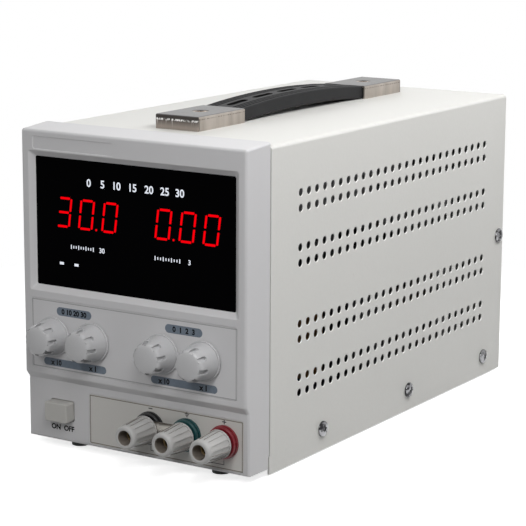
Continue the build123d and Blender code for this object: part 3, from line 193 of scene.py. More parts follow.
def placed(obj, place, facing=TOP):
    """Turns a piece that was modelled facing up, and moves it to its place."""
    choose(obj)
    obj.rotation_euler = facing
    obj.location = Vector(place) * MM
    bpy.ops.object.transform_apply(location=True, rotation=True, scale=True)
    return obj


def block(name, low, high):
    """A box between two corners."""
    choose()
    low, high = Vector(low) * MM, Vector(high) * MM
    bpy.ops.mesh.primitive_cube_add(size=1, location=(low + high) / 2, scale=high - low)
    return begun(name)


@contextmanager
def editing(obj, kind="VERT", test=None):
    """Edit mode on one piece, with the faces, edges or corners that pass the test selected."""
    choose(obj)
    bpy.ops.object.mode_set(mode="EDIT")
    bpy.ops.mesh.select_mode(type=kind)
    bpy.ops.mesh.select_all(action="SELECT" if test is None else "DESELECT")
    bpy.ops.object.mode_set(mode="OBJECT")
    mesh = obj.data
    if test and kind == "FACE":
        for face in mesh.polygons:
            face.select = bool(test(face.center / MM, face.normal))
    elif test and kind == "EDGE":
        for edge in mesh.edges:
            first, second = (mesh.vertices[i].co / MM for i in edge.vertices)
            edge.select = bool(test(first, second))
    elif test:
        for corner in mesh.vertices:
            corner.select = bool(test(corner.co / MM))
    bpy.ops.object.mode_set(mode="EDIT")
    yield
    bpy.ops.object.mode_set(mode="OBJECT")


def modified(obj, kind, **settings):
    """Adds a modifier with its settings and applies it."""
    choose(obj)
    modifier = obj.modifiers.new(kind.title(), kind)
    for key, value in settings.items():
        setattr(modifier, key, value)
    bpy.ops.object.modifier_apply(modifier=modifier.name)
    return obj


def joined(name, objs):
    """Joins pieces into one."""
    choose(*objs)
    if len(objs) > 1:
        bpy.ops.object.join()
    objs[0].name = name
    objs[0].data.name = name
    return objs[0]


def cut(obj, *tools):
    """Takes the tools' shapes out of a piece, and removes the tools."""
    for tool in tools:
        modified(obj, "BOOLEAN", operation="DIFFERENCE", solver="EXACT", object=tool)
        bpy.data.meshes.remove(tool.data)
    return obj


def copied(obj, name, shift=(0, 0, 0), turn=0.0, about=(0, 0, 0), axis="Y"):
    """A copy with its own mesh, turned about a line through a point and then moved."""
    copy = obj.copy()
    copy.data = obj.data.copy()
    copy.name = name
    copy.data.name = name
    bpy.context.collection.objects.link(copy)
    middle = Matrix.Translation(Vector(about) * MM)
    move = Matrix.Translation(Vector(shift) * MM)
    copy.data.transform(move @ middle @ Matrix.Rotation(turn, 4, axis) @ middle.inverted())
    return copy


def turned(name, stations, sides=48, place=(0, 0, 0), facing=TOP, ring=False):
    """A round piece drawn out ring by ring: each station is a height and a radius."""
    choose()
    height, radius = stations[0]
    bpy.ops.mesh.primitive_circle_add(vertices=sides, radius=radius * MM, location=(0, 0, height * MM))
    obj = begun(name)
    with editing(obj):
        for next_height, next_radius in stations[1:]:
            rise = (0, 0, (next_height - height) * MM)
            bpy.ops.mesh.extrude_region_move(TRANSFORM_OT_translate={"value": rise})
            share = next_radius / radius
            middle = (0, 0, next_height * MM)
            bpy.ops.transform.resize(value=(share, share, 1), center_override=middle)
            height, radius = next_height, next_radius
        bpy.ops.mesh.select_all(action="DESELECT")
        bpy.ops.mesh.select_non_manifold(use_wire=False, use_multi_face=False, use_non_contiguous=False)
        if ring:
            bpy.ops.mesh.bridge_edge_loops()
        else:
            bpy.ops.mesh.fill_holes(sides=0)
        closed_up()
    return placed(obj, place, facing)


def closed_up():
    """In edit mode: merges doubled corners and turns all faces outwards."""
    bpy.ops.mesh.select_all(action="SELECT")
    bpy.ops.mesh.remove_doubles(threshold=0.002 * MM)
    bpy.ops.mesh.normals_make_consistent(inside=False)


def bevelled(obj, width, segments, test):
    """Rounds the edges that pass the test."""
    with editing(obj, "EDGE", test):
        bpy.ops.mesh.bevel(offset=width * MM, segments=segments, profile=0.5, affect="EDGES")
    return obj


def softened(obj, width, segments=2, limit=30):
    """Rounds every edge that is sharper than the limit."""
    return modified(
        obj, "BEVEL", width=width * MM, segments=segments, limit_method="ANGLE", angle_limit=radians(limit)
    )


def smooth(obj, angle=35):
    """Smooth shading, broken where faces meet at more than the angle."""
    choose(obj)
    bpy.ops.object.shade_smooth_by_angle(angle=radians(angle))
    return modified(obj, "WEIGHTED_NORMAL", keep_sharp=True, weight=60)


def stadium(name, width, length, depth, radius):
    """A flat bar with rounded corners, its length along Y, standing on zero."""
    bar = block(name, (-width / 2, -length / 2, 0), (width / 2, length / 2, depth))
    return bevelled(bar, radius, 4, lambda a, b: abs(a.z - b.z) > depth / 2)


def sheared(obj, lean, middle_z):
    """Leans an upright flat piece to the right."""
    middle = Matrix.Translation((0, 0, middle_z * MM))
    slope = Matrix.Identity(4)
    slope[0][2] = tan(lean)
    obj.data.transform(middle @ slope @ middle.inverted())
    return obj


def lettering(name, words, height, place, facing=FRONT, width=None, weight=0.0):
    """Printed characters of a given height, with their middle at a place."""
    choose()
    bpy.ops.object.text_add()
    obj = bpy.context.object
    obj.data.body = words
    obj.data.offset = weight
    obj.data.extrude = 0.01
    bpy.ops.object.convert(target="MESH")
    obj = bpy.context.object
    xs = [corner.co.x for corner in obj.data.vertices]
    ys = [corner.co.y for corner in obj.data.vertices]
    share = height * MM / (max(ys) - min(ys))
    across = share if width is None else width * MM / (max(xs) - min(xs))
    middle = Vector(((max(xs) + min(xs)) / 2, (max(ys) + min(ys)) / 2, 0))
    flat = Matrix.Diagonal((across, share, PRINT_T * MM / 0.02, 1))
    obj.data.transform(flat @ Matrix.Translation(-middle))
    obj.name = name
    obj.data.name = name
    with editing(obj):
        bpy.ops.mesh.remove_doubles(threshold=0.0001 * MM)
    return placed(obj, place, facing)


def printed(name, bars, y):
    """Flat printed bars on a front face: each is a middle, a width and a height."""
    made = []
    for x, z, width, height in bars:
        low = (x - width / 2, y - PRINT_T, z - height / 2)
        made.append(block(name, low, (x + width / 2, y + PRINT_T, z + height / 2)))
    return joined(name, made)


def marked(obj, test):
    """Marks the faces that pass the test, by place and normal, for a piece's second finish."""
    for face in obj.data.polygons:
        face.material_index = int(test(face.center / MM, face.normal))
    return obj


def outline(low, high, width):
    """The four bars of a printed frame just inside a label's edge."""
    middle = (low + high) / 2
    wide, tall = high.x - low.x - width, high.z - low.z - width
    across = [(middle.x, z, wide, width) for z in (low.z + width, high.z - width)]
    return across + [(x, middle.z, width, tall) for x in (low.x + width, high.x - width)]


def fitted(obj, material, body, slot, *nodes, second=None):
    """Gives a finished piece its finishes, its body and the nodes that it stands for; the slot argument is not used.
    """
    marks = [face.material_index for face in obj.data.polygons]
    obj.data.materials.clear()
    obj.data.materials.append(material)
    if second:
        obj.data.materials.append(second)
        obj.data.polygons.foreach_set("material_index", marks)
    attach(obj, body)
    if nodes:
        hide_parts(*nodes)
    return obj


def finish_node(node, material):
    """Gives a frame node its material."""
    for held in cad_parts[node].material_slots:
        held.material = material


# ------------------------------------------------------------------ shader helpers
class Value:
    """A shader socket that can stand in a Python sum."""

    def __init__(self, finish, socket):
        self.finish = finish
        self.socket = socket

    def sum(self, operation, first, second):
        return self.finish.node("ShaderNodeMath", {"operation": operation}, {0: first, 1: second})

    def __add__(self, other):
        return self.sum("ADD", self, other)

    def __radd__(self, other):
        return self.sum("ADD", other, self)

    def __sub__(self, other):
        return self.sum("SUBTRACT", self, other)

    def __rsub__(self, other):
        return self.sum("SUBTRACT", other, self)

    def __mul__(self, other):
        return self.sum("MULTIPLY", self, other)

    def __rmul__(self, other):
        return self.sum("MULTIPLY", other, self)


class Finish:
    """A material under construction."""

    def __init__(self, name):
        self.material = bpy.data.materials.new(name)
        self.material.use_nodes = True
        self.nodes = self.material.node_tree.nodes
        self.nodes.clear()
        self.place = self.node("ShaderNodeTexCoord", {}, {}, "Object")

    def node(self, kind, settings, inputs, output=0):
        """Adds a node: its settings first, then a value or a link for each named socket."""
        made = self.nodes.new(kind)
        for key, value in settings.items():
            setattr(made, key, value)
        for key, value in inputs.items():
            if isinstance(value, Value):
                self.material.node_tree.links.new(value.socket, made.inputs[key])
            else:
                made.inputs[key].default_value = value
        return Value(self, made.outputs[output])

    def noise(self, scale, detail=2.0, stretch=(1, 1, 1)):
        place = self.node("ShaderNodeMapping", {}, {"Vector": self.place, "Scale": stretch})
        return self.node("ShaderNodeTexNoise", {}, {"Vector": place, "Scale": scale, "Detail": detail})

    def between(self, value, low, high):
        """0 where a value is at or under low, 1 where it is at or over high."""
        return self.node("ShaderNodeMapRange", {}, {0: value, 1: low, 2: high})

    def mix(self, mask, first, second):
        """One colour into another by a mask."""
        return self.node(
            "ShaderNodeMix", {"data_type": "RGBA"}, {0: mask, 6: shade(first), 7: shade(second)}, 2
        )

    def along(self, axis):
        """Place along one axis, in metres."""
        return self.node("ShaderNodeSeparateXYZ", {}, {0: self.place}, "XYZ".index(axis))

    def bump(self, height, distance, strength=1.0):
        return self.node(
            "ShaderNodeBump", {}, {"Strength": strength, "Distance": distance * MM, "Height": height}
        )

    def surface(self, **sockets):
        """Ends the material in a Principled shader, and hands it over."""
        inputs = {key.replace("_", " "): value for key, value in sockets.items()}
        shader = self.node("ShaderNodeBsdfPrincipled", {}, inputs)
        self.node_out(shader)
        return self.material

    def node_out(self, shader):
        out = self.nodes.new("ShaderNodeOutputMaterial")
        self.material.node_tree.links.new(shader.socket, out.inputs["Surface"])


def shade(colour):
    """A colour as a socket takes it."""
    return colour if isinstance(colour, Value) else (*colour[:3], 1.0)


def lit(colour, share):
    """A colour made lighter or darker."""
    return tuple(min(1.0, part * share) for part in colour[:3])


# ------------------------------------------------------------------ finishes
def powder_coat(name, colour):
    """Baked powder coat on sheet steel: fine orange peel, faint flecks and clouds."""
    f = Finish(name)
    cloud = f.noise(11.0, 3.0)
    peel = f.noise(620.0, 2.0)
    fleck = f.between(f.noise(240.0, 3.0), 0.70, 0.76)
    tone = f.mix(cloud * 0.55 + peel * 0.45, lit(colour, 0.955), lit(colour, 1.04))
    colour = f.mix(fleck * 0.12, tone, (0.52, 0.50, 0.46))
    return f.surface(
        Base_Color=colour,
        Roughness=0.40 + 0.16 * peel,
        Specular_IOR_Level=0.35,
        Normal=f.bump(peel + 0.4 * f.noise(1500.0, 1.0), 0.035),
    )


def moulded(name, colour, rough=0.42, grain=900.0, depth=0.02, spread=0.03, specular=0.4):
    """Moulded plastic: spark-eroded grain, slightly uneven tone and sheen."""
    f = Finish(name)
    cloud = f.noise(26.0, 3.0)
    fine = f.noise(grain, 2.0)
    tone = f.mix(cloud * 0.6 + fine * 0.4, lit(colour, 1 - spread), lit(colour, 1 + spread))
    return f.surface(
        Base_Color=tone,
        Roughness=(rough - 0.05) + 0.10 * f.noise(60.0, 2.0),
        Specular_IOR_Level=specular,
        Normal=f.bump(fine, depth),
    )


def bright_metal(name, colour, rough=0.22, stretch=(1, 1, 1), dark=0.55, scale=260.0):
    """Plated or turned metal: fine drawn marks, cloudy sheen, darker in random patches."""
    f = Finish(name)
    marks = f.noise(scale, 4.0, stretch)
    cloud = f.noise(90.0, 3.0)
    tone = f.mix(f.between(marks * 0.6 + cloud * 0.4, 0.36, 0.62), lit(colour, dark), colour)
    return f.surface(
        Base_Color=tone,
        Metallic=1.0,
        Roughness=rough + 0.16 * cloud,
        Normal=f.bump(marks, 0.01),
    )


def chromed(name, bright, dark, scale=420.0):
    """Chrome with painted reflections: hard light and dark patches in its colour, like those it picks up from a room.
    """
    f = Finish(name)
    # Painted reflection: hard light and dark patches put into the base colour.
    painted_reflection_patch = f.between(f.noise(scale, 2.0), 0.46, 0.54)
    return f.surface(Base_Color=f.mix(painted_reflection_patch, dark, bright), Metallic=1.0, Roughness=0.12 + 0.12 * f.noise(900.0, 2.0))


def nickel_with_painted_reflections(name, low, high, outer_y):
    """Nickel-plated handle cap with painted reflections: a clear, darker top, an end wall painted darker under its lip
    with painted highlight streaks and dots, and a dotted dark reflection line down its sides.
    """
    f = Finish(name)
    fine = f.noise(900.0, 2.0)
    highlight_streak_noise = f.noise(1100.0, 1.0, (1, 1, 0.05))
    highlight_dot_noise = f.noise(1500.0, 1.0, (1, 1, 0.3))
    height = f.between(f.along("Z"), low.z * MM, high.z * MM)
    inward = 1 if outer_y < 0 else -1
    at_end = f.between(f.along("Y"), (outer_y + 0.7 * inward) * MM, (outer_y + 0.4 * inward) * MM)
    # End wall: painted darker towards its top, as painted shade under the lip and a painted reflection.
    end = f.mix(f.between(height, 0.20, 0.74), (0.34, 0.295, 0.26), (0.06, 0.054, 0.05))
    # Painted highlights on the end wall: thin bright streaks low down and a row of bright dots under the dark band.
    painted_highlight_streaks = f.between(highlight_streak_noise, 0.60, 0.68) * f.between(height, 0.05, 0.60) * (1.0 - f.between(height, 0.66, 0.70))
    painted_highlight_dots = f.between(highlight_dot_noise, 0.44, 0.56) * f.between(height, 0.58, 0.64) * (1.0 - f.between(height, 0.70, 0.76))
    end = f.mix(painted_highlight_streaks * 0.7, end, (0.80, 0.76, 0.72))
    end = f.mix(painted_highlight_dots, end, (0.95, 0.94, 0.92))
    # Side walls: cloudy upright streaks of painted reflection and a dotted dark reflection line near the top.
    side = f.mix(f.between(f.noise(160.0, 3.0, (1, 1, 0.2)), 0.35, 0.65), (0.40, 0.355, 0.315), (0.52, 0.47, 0.425))
    reflection_line_breaks = f.between(f.noise(1400.0, 1.0, (1, 1, 0.1)), 0.46, 0.52)
    line = f.between(height, 0.74, 0.77) * (1.0 - f.between(height, 0.80, 0.83)) * reflection_line_breaks
    side = f.mix(line * 0.7, side, (0.10, 0.09, 0.08))
    wall = f.mix(at_end, side, end)
    # Top: painted darker than the walls, as a painted reflection.
    top = f.mix(f.noise(70.0, 3.0, (1, 0.4, 1)), (0.11, 0.108, 0.108), (0.18, 0.175, 0.175))
    on_top = f.between(height, 0.95, 0.98)
    return f.surface(
        Base_Color=f.mix(on_top, wall, top),
        Metallic=0.9 - 0.6 * on_top,
        Roughness=0.24 + 0.14 * fine,
        Specular_IOR_Level=0.2,
        Normal=f.bump(fine, 0.012),
    )


def dark_window(name):
    """Smoked acrylic over the displays: black, with a hardly visible cast and fine dust."""
    f = Finish(name)
    dust = f.between(f.noise(700.0, 2.0), 0.72, 0.80)
    tone = f.mix(f.noise(14.0, 2.0), (0.0008, 0.0008, 0.001), (0.0016, 0.0015, 0.002))
    return f.surface(
        Base_Color=f.mix(dust * 0.01, tone, (0.4, 0.4, 0.42)),
        Roughness=0.10 + 0.08 * f.noise(50.0, 2.0),
        Specular_IOR_Level=0.004,
    )


def glowing(name, colour):
    """Light bars of the digits, their light a little uneven."""
    f = Finish(name)
    warm = f.mix(f.noise(320.0, 1.0), colour, lit(colour, 0.9))
    unlit = f.mix(f.noise(320.0, 1.0), lit(colour, 0.05), lit(colour, 0.08))
    return f.surface(Base_Color=unlit, Emission_Color=warm, Emission_Strength=1.0, Roughness=0.5, Specular_IOR_Level=0.0)


def ink(name, colour, specular=0.3):
    """Screen print: thin ink with slightly uneven cover."""
    f = Finish(name)
    tone = f.mix(f.noise(800.0, 3.0), lit(colour, 0.82), lit(colour, 1.12))
    return f.surface(Base_Color=tone, Roughness=0.45 + 0.15 * f.noise(500.0), Specular_IOR_Level=specular)


def milky_cap(name):
    """Grey-white polycarbonate of the terminal caps, clearer along its ribs."""
    f = Finish(name)
    haze = f.noise(210.0, 3.0, (1, 0.25, 1))
    tone = f.mix(haze, (0.46, 0.455, 0.445), (0.60, 0.595, 0.585))
    return f.surface(
        Base_Color=tone,
        Roughness=0.24 + 0.12 * f.noise(120.0),
        Specular_IOR_Level=0.5,
        Normal=f.bump(haze, 0.02),
    )


def ribbed_rubber(name, colour):
    """Matt black strap plastic with a fine tooth and paler rubbed patches."""
    f = Finish(name)
    tooth = f.noise(1100.0, 2.0)
    rubbed = f.between(f.noise(60.0, 3.0), 0.55, 0.75)
    tone = f.mix(rubbed * 0.5 + 0.3 * tooth, colour, lit(colour, 1.6))
    return f.surface(Base_Color=tone, Roughness=0.44 + 0.16 * tooth, Specular_IOR_Level=0.16, Normal=f.bump(tooth, 0.02))


def bare_board(name):
    """Green solder mask over copper, with a faint grid of tracks."""
    f = Finish(name)
    inputs = {"Vector": f.place, "Scale": 120.0, "Distortion": 3.0}
    tracks = f.node("ShaderNodeTexWave", {"bands_direction": "DIAGONAL"}, inputs, 1)
    tone = f.mix(f.between(tracks, 0.6, 0.7), (0.012, 0.085, 0.035), (0.03, 0.16, 0.07))
    return f.surface(Base_Color=tone, Roughness=0.35 + 0.1 * f.noise(300.0))


def wound_copper(name):
    """Taped winding: varnished turns that show through."""
    f = Finish(name)
    turns = f.node("ShaderNodeTexWave", {"bands_direction": "Z"}, {"Vector": f.place, "Scale": 700.0, "Distortion": 0.4}, 1)
    tone = f.mix(turns, (0.18, 0.07, 0.02), (0.55, 0.27, 0.10))
    return f.surface(Base_Color=tone, Roughness=0.35 + 0.1 * f.noise(200.0), Normal=f.bump(turns, 0.08))


def stacked_steel(name):
    """Edges of the transformer's laminations."""
    f = Finish(name)
    sheets = f.node("ShaderNodeTexWave", {"bands_direction": "Y"}, {"Vector": f.place, "Scale": 900.0, "Distortion": 0.2}, 1)
    tone = f.mix(sheets, (0.06, 0.06, 0.07), (0.20, 0.20, 0.21))
    return f.surface(Base_Color=tone, Metallic=0.8, Roughness=0.42 + 0.1 * f.noise(200.0), Normal=f.bump(sheets, 0.05))


def clear_glass(name):
    """Fuse glass with its caps and a hair of wire."""
    f = Finish(name)
    tone = f.mix(f.noise(300.0), (0.72, 0.76, 0.74), (0.86, 0.88, 0.87))
    return f.surface(Base_Color=tone, Roughness=0.06 + 0.05 * f.noise(80.0), Specular_IOR_Level=0.6)


# ------------------------------------------------------------------ stage
class SUPPLY_OT_stage(bpy.types.Operator):
    """Adds the floor, the soft lights, the white surroundings and the camera"""

    bl_idname = "supply.stage"
    bl_label = "Stage"

    def execute(self, context):
        scene = context.scene
        scene.view_settings.view_transform = "Standard"
        self.add_floor()
        self.add_world(scene)
        self.add_light("overhead", (-0.10, 0.05, 1.50), (0, 0, 0.10), (1.1, 1.3), OVERHEAD_W)
        self.add_light("right_bank", (0.31, 0.05, 0.46), (0.04, 0.05, 0.08), (1.5, 0.22), RIGHT_W)
        self.add_light("front_fill", (-0.15, -1.30, 0.62), (0, -0.12, 0.08), (1.0, 0.8), FRONT_W)
        self.add_light("rear_fill", (-0.90, 0.95, 0.60), (0, 0, 0.08), (1.0, 0.8), REAR_W)
        self.add_light("spark", (0.16, -1.15, 0.74), (0, -0.12, 0.08), (0.16, 0.16), SPARK_W, True)
        self.add_camera(scene)
        return {"FINISHED"}

    def add_floor(self):
        choose()
        bpy.ops.mesh.primitive_plane_add(size=12.0)
        floor = begun("floor")
        f = Finish("studio_floor")
        seen = self.seen_directly(f)
        tone = f.noise(3.0, 2.0)
        across = f.node("ShaderNodeMapping", {}, {"Vector": f.place, "Scale": (1.0, 1.0, 0.0)})
        far = f.node("ShaderNodeVectorMath", {"operation": "LENGTH"}, {0: across}, 1)
        grey = f.node("ShaderNodeBsdfDiffuse", {}, {"Color": f.mix(tone, (0.16, 0.16, 0.16), (0.19, 0.19, 0.19))})
        white = f.node("ShaderNodeBsdfDiffuse", {}, {"Color": f.mix(tone, (0.86, 0.86, 0.86), (0.90, 0.90, 0.90))})
        glow = f.node("ShaderNodeEmission", {}, {"Color": (1, 1, 1, 1), "Strength": FLOOR_GLOW})
        near = f.node("ShaderNodeAddShader", {}, {0: white, 1: glow})
        blank = f.node("ShaderNodeEmission", {}, {"Color": (1, 1, 1, 1), "Strength": 1.0})
        bright = f.node("ShaderNodeMixShader", {}, {0: f.between(far, *FLOOR_FADE), 1: near, 2: blank})
        f.node_out(f.node("ShaderNodeMixShader", {}, {0: seen, 1: grey, 2: bright}))
        floor.data.materials.append(f.material)

    def seen_directly(self, f):
        """1 for rays from the camera, off gloss and through glass; 0 for the rest."""
        kinds = ("Is Camera Ray", "Is Glossy Ray", "Is Transmission Ray")
        seen, glossy, through = [f.node("ShaderNodeLightPath", {}, {}, kind) for kind in kinds]
        either = f.node("ShaderNodeMath", {"operation": "MAXIMUM"}, {0: seen, 1: glossy})
        return f.node("ShaderNodeMath", {"operation": "MAXIMUM"}, {0: either, 1: through})

    def add_world(self, scene):
        world = bpy.data.worlds.new("surroundings")
        scene.world = world
        world.use_nodes = True
        nodes, links = world.node_tree.nodes, world.node_tree.links
        nodes.clear()
        path = nodes.new("ShaderNodeLightPath")
        glossy = nodes.new("ShaderNodeMath")
        glossy.operation = "MAXIMUM"
        links.new(path.outputs["Is Camera Ray"], glossy.inputs[0])
        links.new(path.outputs["Is Glossy Ray"], glossy.inputs[1])
        direct = nodes.new("ShaderNodeMath")
        direct.operation = "MAXIMUM"
        links.new(glossy.outputs[0], direct.inputs[0])
        links.new(path.outputs["Is Transmission Ray"], direct.inputs[1])
        strength = nodes.new("ShaderNodeMapRange")
        strength.inputs["To Min"].default_value = AMBIENT
        strength.inputs["To Max"].default_value = 1.0
        links.new(direct.outputs[0], strength.inputs["Value"])
        background = nodes.new("ShaderNodeBackground")
        background.inputs["Color"].default_value = (1, 1, 1, 1)
        links.new(strength.outputs["Result"], background.inputs["Strength"])
        out = nodes.new("ShaderNodeOutputWorld")
        links.new(background.outputs[0], out.inputs["Surface"])

    def add_light(self, name, place, target, size, power, sparkles=False):
        choose()
        bpy.ops.object.light_add(type="AREA", location=place)
        lamp = bpy.context.object
        lamp.name = name
        lamp.data.shape = "RECTANGLE"
        lamp.data.size, lamp.data.size_y = size
        lamp.data.energy = power
        lamp.rotation_euler = (Vector(target) - Vector(place)).to_track_quat("-Z", "Y").to_euler()
        lamp.visible_camera = False
        lamp.visible_glossy = sparkles

    def add_camera(self, scene):
        choose()
        bpy.ops.object.camera_add()
        camera = bpy.context.object
        camera.name = "view"
        azimuth, elevation, roll = (radians(angle) for angle in CAMERA_ANGLES)
        back = Vector((sin(azimuth) * cos(elevation), -cos(azimuth) * cos(elevation), sin(elevation)))
        right = (-back).cross(Vector((0, 0, 1))).normalized()
        up = right.cross(-back)
        across = right * cos(roll) + up * sin(roll)
        upright = up * cos(roll) - right * sin(roll)
        turn = Matrix((across, upright, back)).transposed().to_4x4()
        camera.matrix_world = Matrix.Translation(Vector(CAMERA_PLACE) * MM) @ turn
        camera.data.lens = CAMERA_LENS
        camera.data.sensor_width = 36.0
        camera.data.clip_start = 0.01
        camera.data.dof.use_dof = False
        scene.camera = camera


OVERHEAD_W = 0.6
RIGHT_W = 4.0
FRONT_W = 0.4
SPARK_W = 2.3
REAR_W = 7.0
AMBIENT = 0.12
FLOOR_GLOW = 0.74
FLOOR_FADE = (0.22, 0.42)
CAMERA_ANGLES = (32.566, 11.515, 0.271)
CAMERA_PLACE = (565.17, -895.90, 295.03)
CAMERA_LENS = 137.74


# ------------------------------------------------------------------ case
def case_sizes():
    """The case settings in millimetres."""
    case = bpy.context.scene.supply_case
    return {key: getattr(case, key) / MM for key in ("sheet", "bend", "vent", "vent_pitch", "bezel_edge")}


class SUPPLY_OT_cover(bpy.types.Operator):
    """Folds the steel cover and drills its vents"""

    bl_idname = "supply.cover"
    bl_label = "Cover"

    def execute(self, context):
        sizes = case_sizes()
        paint = powder_coat("cover_paint", context.scene.supply_case.cover_colour)
        cover = self.add_shell(sizes)
        cut(cover, self.add_vents(sizes))
        # The vent rims get a lighter copy of the cover paint: a painted highlight.
        rim_highlight = powder_coat("vent_rim_painted_highlight", lit(context.scene.supply_case.cover_colour, 1.25))
        marked(smooth(cover), self.on_rim)
        fitted(cover, paint, "case", "cover_paint", "top_cover", second=rim_highlight)
        return {"FINISHED"}

    def on_rim(self, middle, normal):
        """The turned-in rims of the vents, painted lighter as a highlight."""
        bands = VENT_BANDS[0] - VENT_ROW_GAP < middle.z - base_z < VENT_BANDS[-1] + VENT_ROW_GAP
        in_rim = abs(middle.x) > cover_high.x - VENT_RIM and abs(normal.x) < 0.9
        return bands and in_rim and seam_y + VENT_MARGIN < middle.y < cover_high.y - VENT_MARGIN

    def add_shell(self, sizes):
        low = (cover_low.x, seam_y, base_z)
        cover = block("cover", low, cover_high)
        bevelled(cover, sizes["bend"], 5, lambda a, b: min(a.z, b.z) > cover_high.z - 0.1 and abs(a.x - b.x) < 0.1)
        with editing(cover, "FACE", lambda middle, normal: abs(normal.y) > 0.9 or normal.z < -0.9):
            bpy.ops.mesh.delete(type="FACE")
        with editing(cover):
            bpy.ops.mesh.bisect(plane_co=(0, 0, (base_z + TONGUE_H) * MM), plane_no=(0, 0, 1))
        tongue_top = base_z + TONGUE_H + 0.1
        with editing(cover, "EDGE", lambda a, b: max(a.y, b.y) < seam_y + 0.1 and max(a.z, b.z) < tongue_top):
            bpy.ops.mesh.extrude_region_move(TRANSFORM_OT_translate={"value": (0, -TONGUE_OUT * MM, 0)})
        modified(cover, "SOLIDIFY", thickness=sizes["sheet"] * MM, offset=-1)
        softened(cover, 0.18, 1, 60)
        return cover

    def add_vents(self, sizes):
        radius = sizes["vent"] / 2
        profile = ((VENT_RIM, radius + 2 * VENT_RIM), (-VENT_RIM, radius), (-2 * VENT_RIM, radius), (-1.4, radius + VENT_FLARE))
        right = [(cover_high.x + out, wide) for out, wide in profile]
        bore = [(-out, wide) for out, wide in right] + right[::-1]
        first = VENT_BANDS[0] - VENT_ROW_GAP / 2 + base_z
        vents = turned("vents", bore, 14, (0, seam_y + VENT_FIRST, first), RIGHT)
        for count, step in ((VENT_COUNT, (0, sizes["vent_pitch"] * MM, 0)), (2, (0, 0, VENT_ROW_GAP * MM))):
            modified(
                vents, "ARRAY", count=count, use_relative_offset=False, use_constant_offset=True, constant_offset_displace=step
            )
        rises = [band - VENT_BANDS[0] for band in VENT_BANDS[1:]]
        return joined("vents", [vents] + [copied(vents, "vents_copy", (0, 0, rise)) for rise in rises])


def cross_head(name, radius, height, shank, place, facing):
    """A pan-head screw with a cross recess and a short shank."""
    profile = [
        (-shank, radius * 0.45),
        (0, radius * 0.45),
        (0, radius),
        (height * 0.38, radius * 0.99),
        (height * 0.66, radius * 0.90),
        (height * 0.88, radius * 0.66),
        (height * 0.98, radius * 0.34),
        (height, radius * 0.02),
    ]
    screw = turned(name, profile, 28)
    for turn in (0, pi / 2):
        wing = block("wing", (-radius * 0.62, -radius * 0.11, height * 0.25), (radius * 0.62, radius * 0.11, height + 1))
        with editing(wing, "FACE", lambda middle, normal: normal.z < -0.9):
            bpy.ops.transform.resize(value=(0.4, 0.5, 1), center_override=(0, 0, height * 0.25 * MM))
        wing.data.transform(Matrix.Rotation(turn + radians(24), 4, "Z"))
        cut(screw, wing)

    def in_cross(middle, normal):
        deep = abs(normal.z) < 0.5 or middle.z < height * 0.3
        return deep and Vector(middle[:2]).length < radius * 0.64

    return placed(marked(smooth(screw, 40), in_cross), place, facing)


class SUPPLY_OT_cover_screws(bpy.types.Operator):
    """Puts four cross-head screws in each side of the cover"""

    bl_idname = "supply.cover_screws"
    bl_label = "Cover screws"

    def execute(self, context):
        # Chrome with painted reflection patches; the cross recess gets a near-black finish as painted shade.
        chrome = chromed("screw_chrome", (0.25, 0.25, 0.26), (0.035, 0.035, 0.037))
        shadow = bright_metal("screw_cross_painted_shade", (0.05, 0.05, 0.05), 0.4)
        for side, facing in (("right", RIGHT), ("left", LEFT)):
            sign = 1 if side == "right" else -1
            first = None
            for number, (back, height) in enumerate(COVER_SCREWS, 1):
                place = (sign * cover_high.x, seam_y + back, base_z + height)
                if first is None:
                    first, start = cross_head(f"cover_screw_{side}_1", 4.0, 1.95, 3.0, place, facing), Vector(place)
                    screw = first
                else:
                    turn = number * radians(35)
                    screw = copied(first, f"cover_screw_{side}_{number}", Vector(place) - start, turn, start, "X")
                fitted(screw, chrome, "case", "steel", "cover_screws", second=shadow)
        return {"FINISHED"}


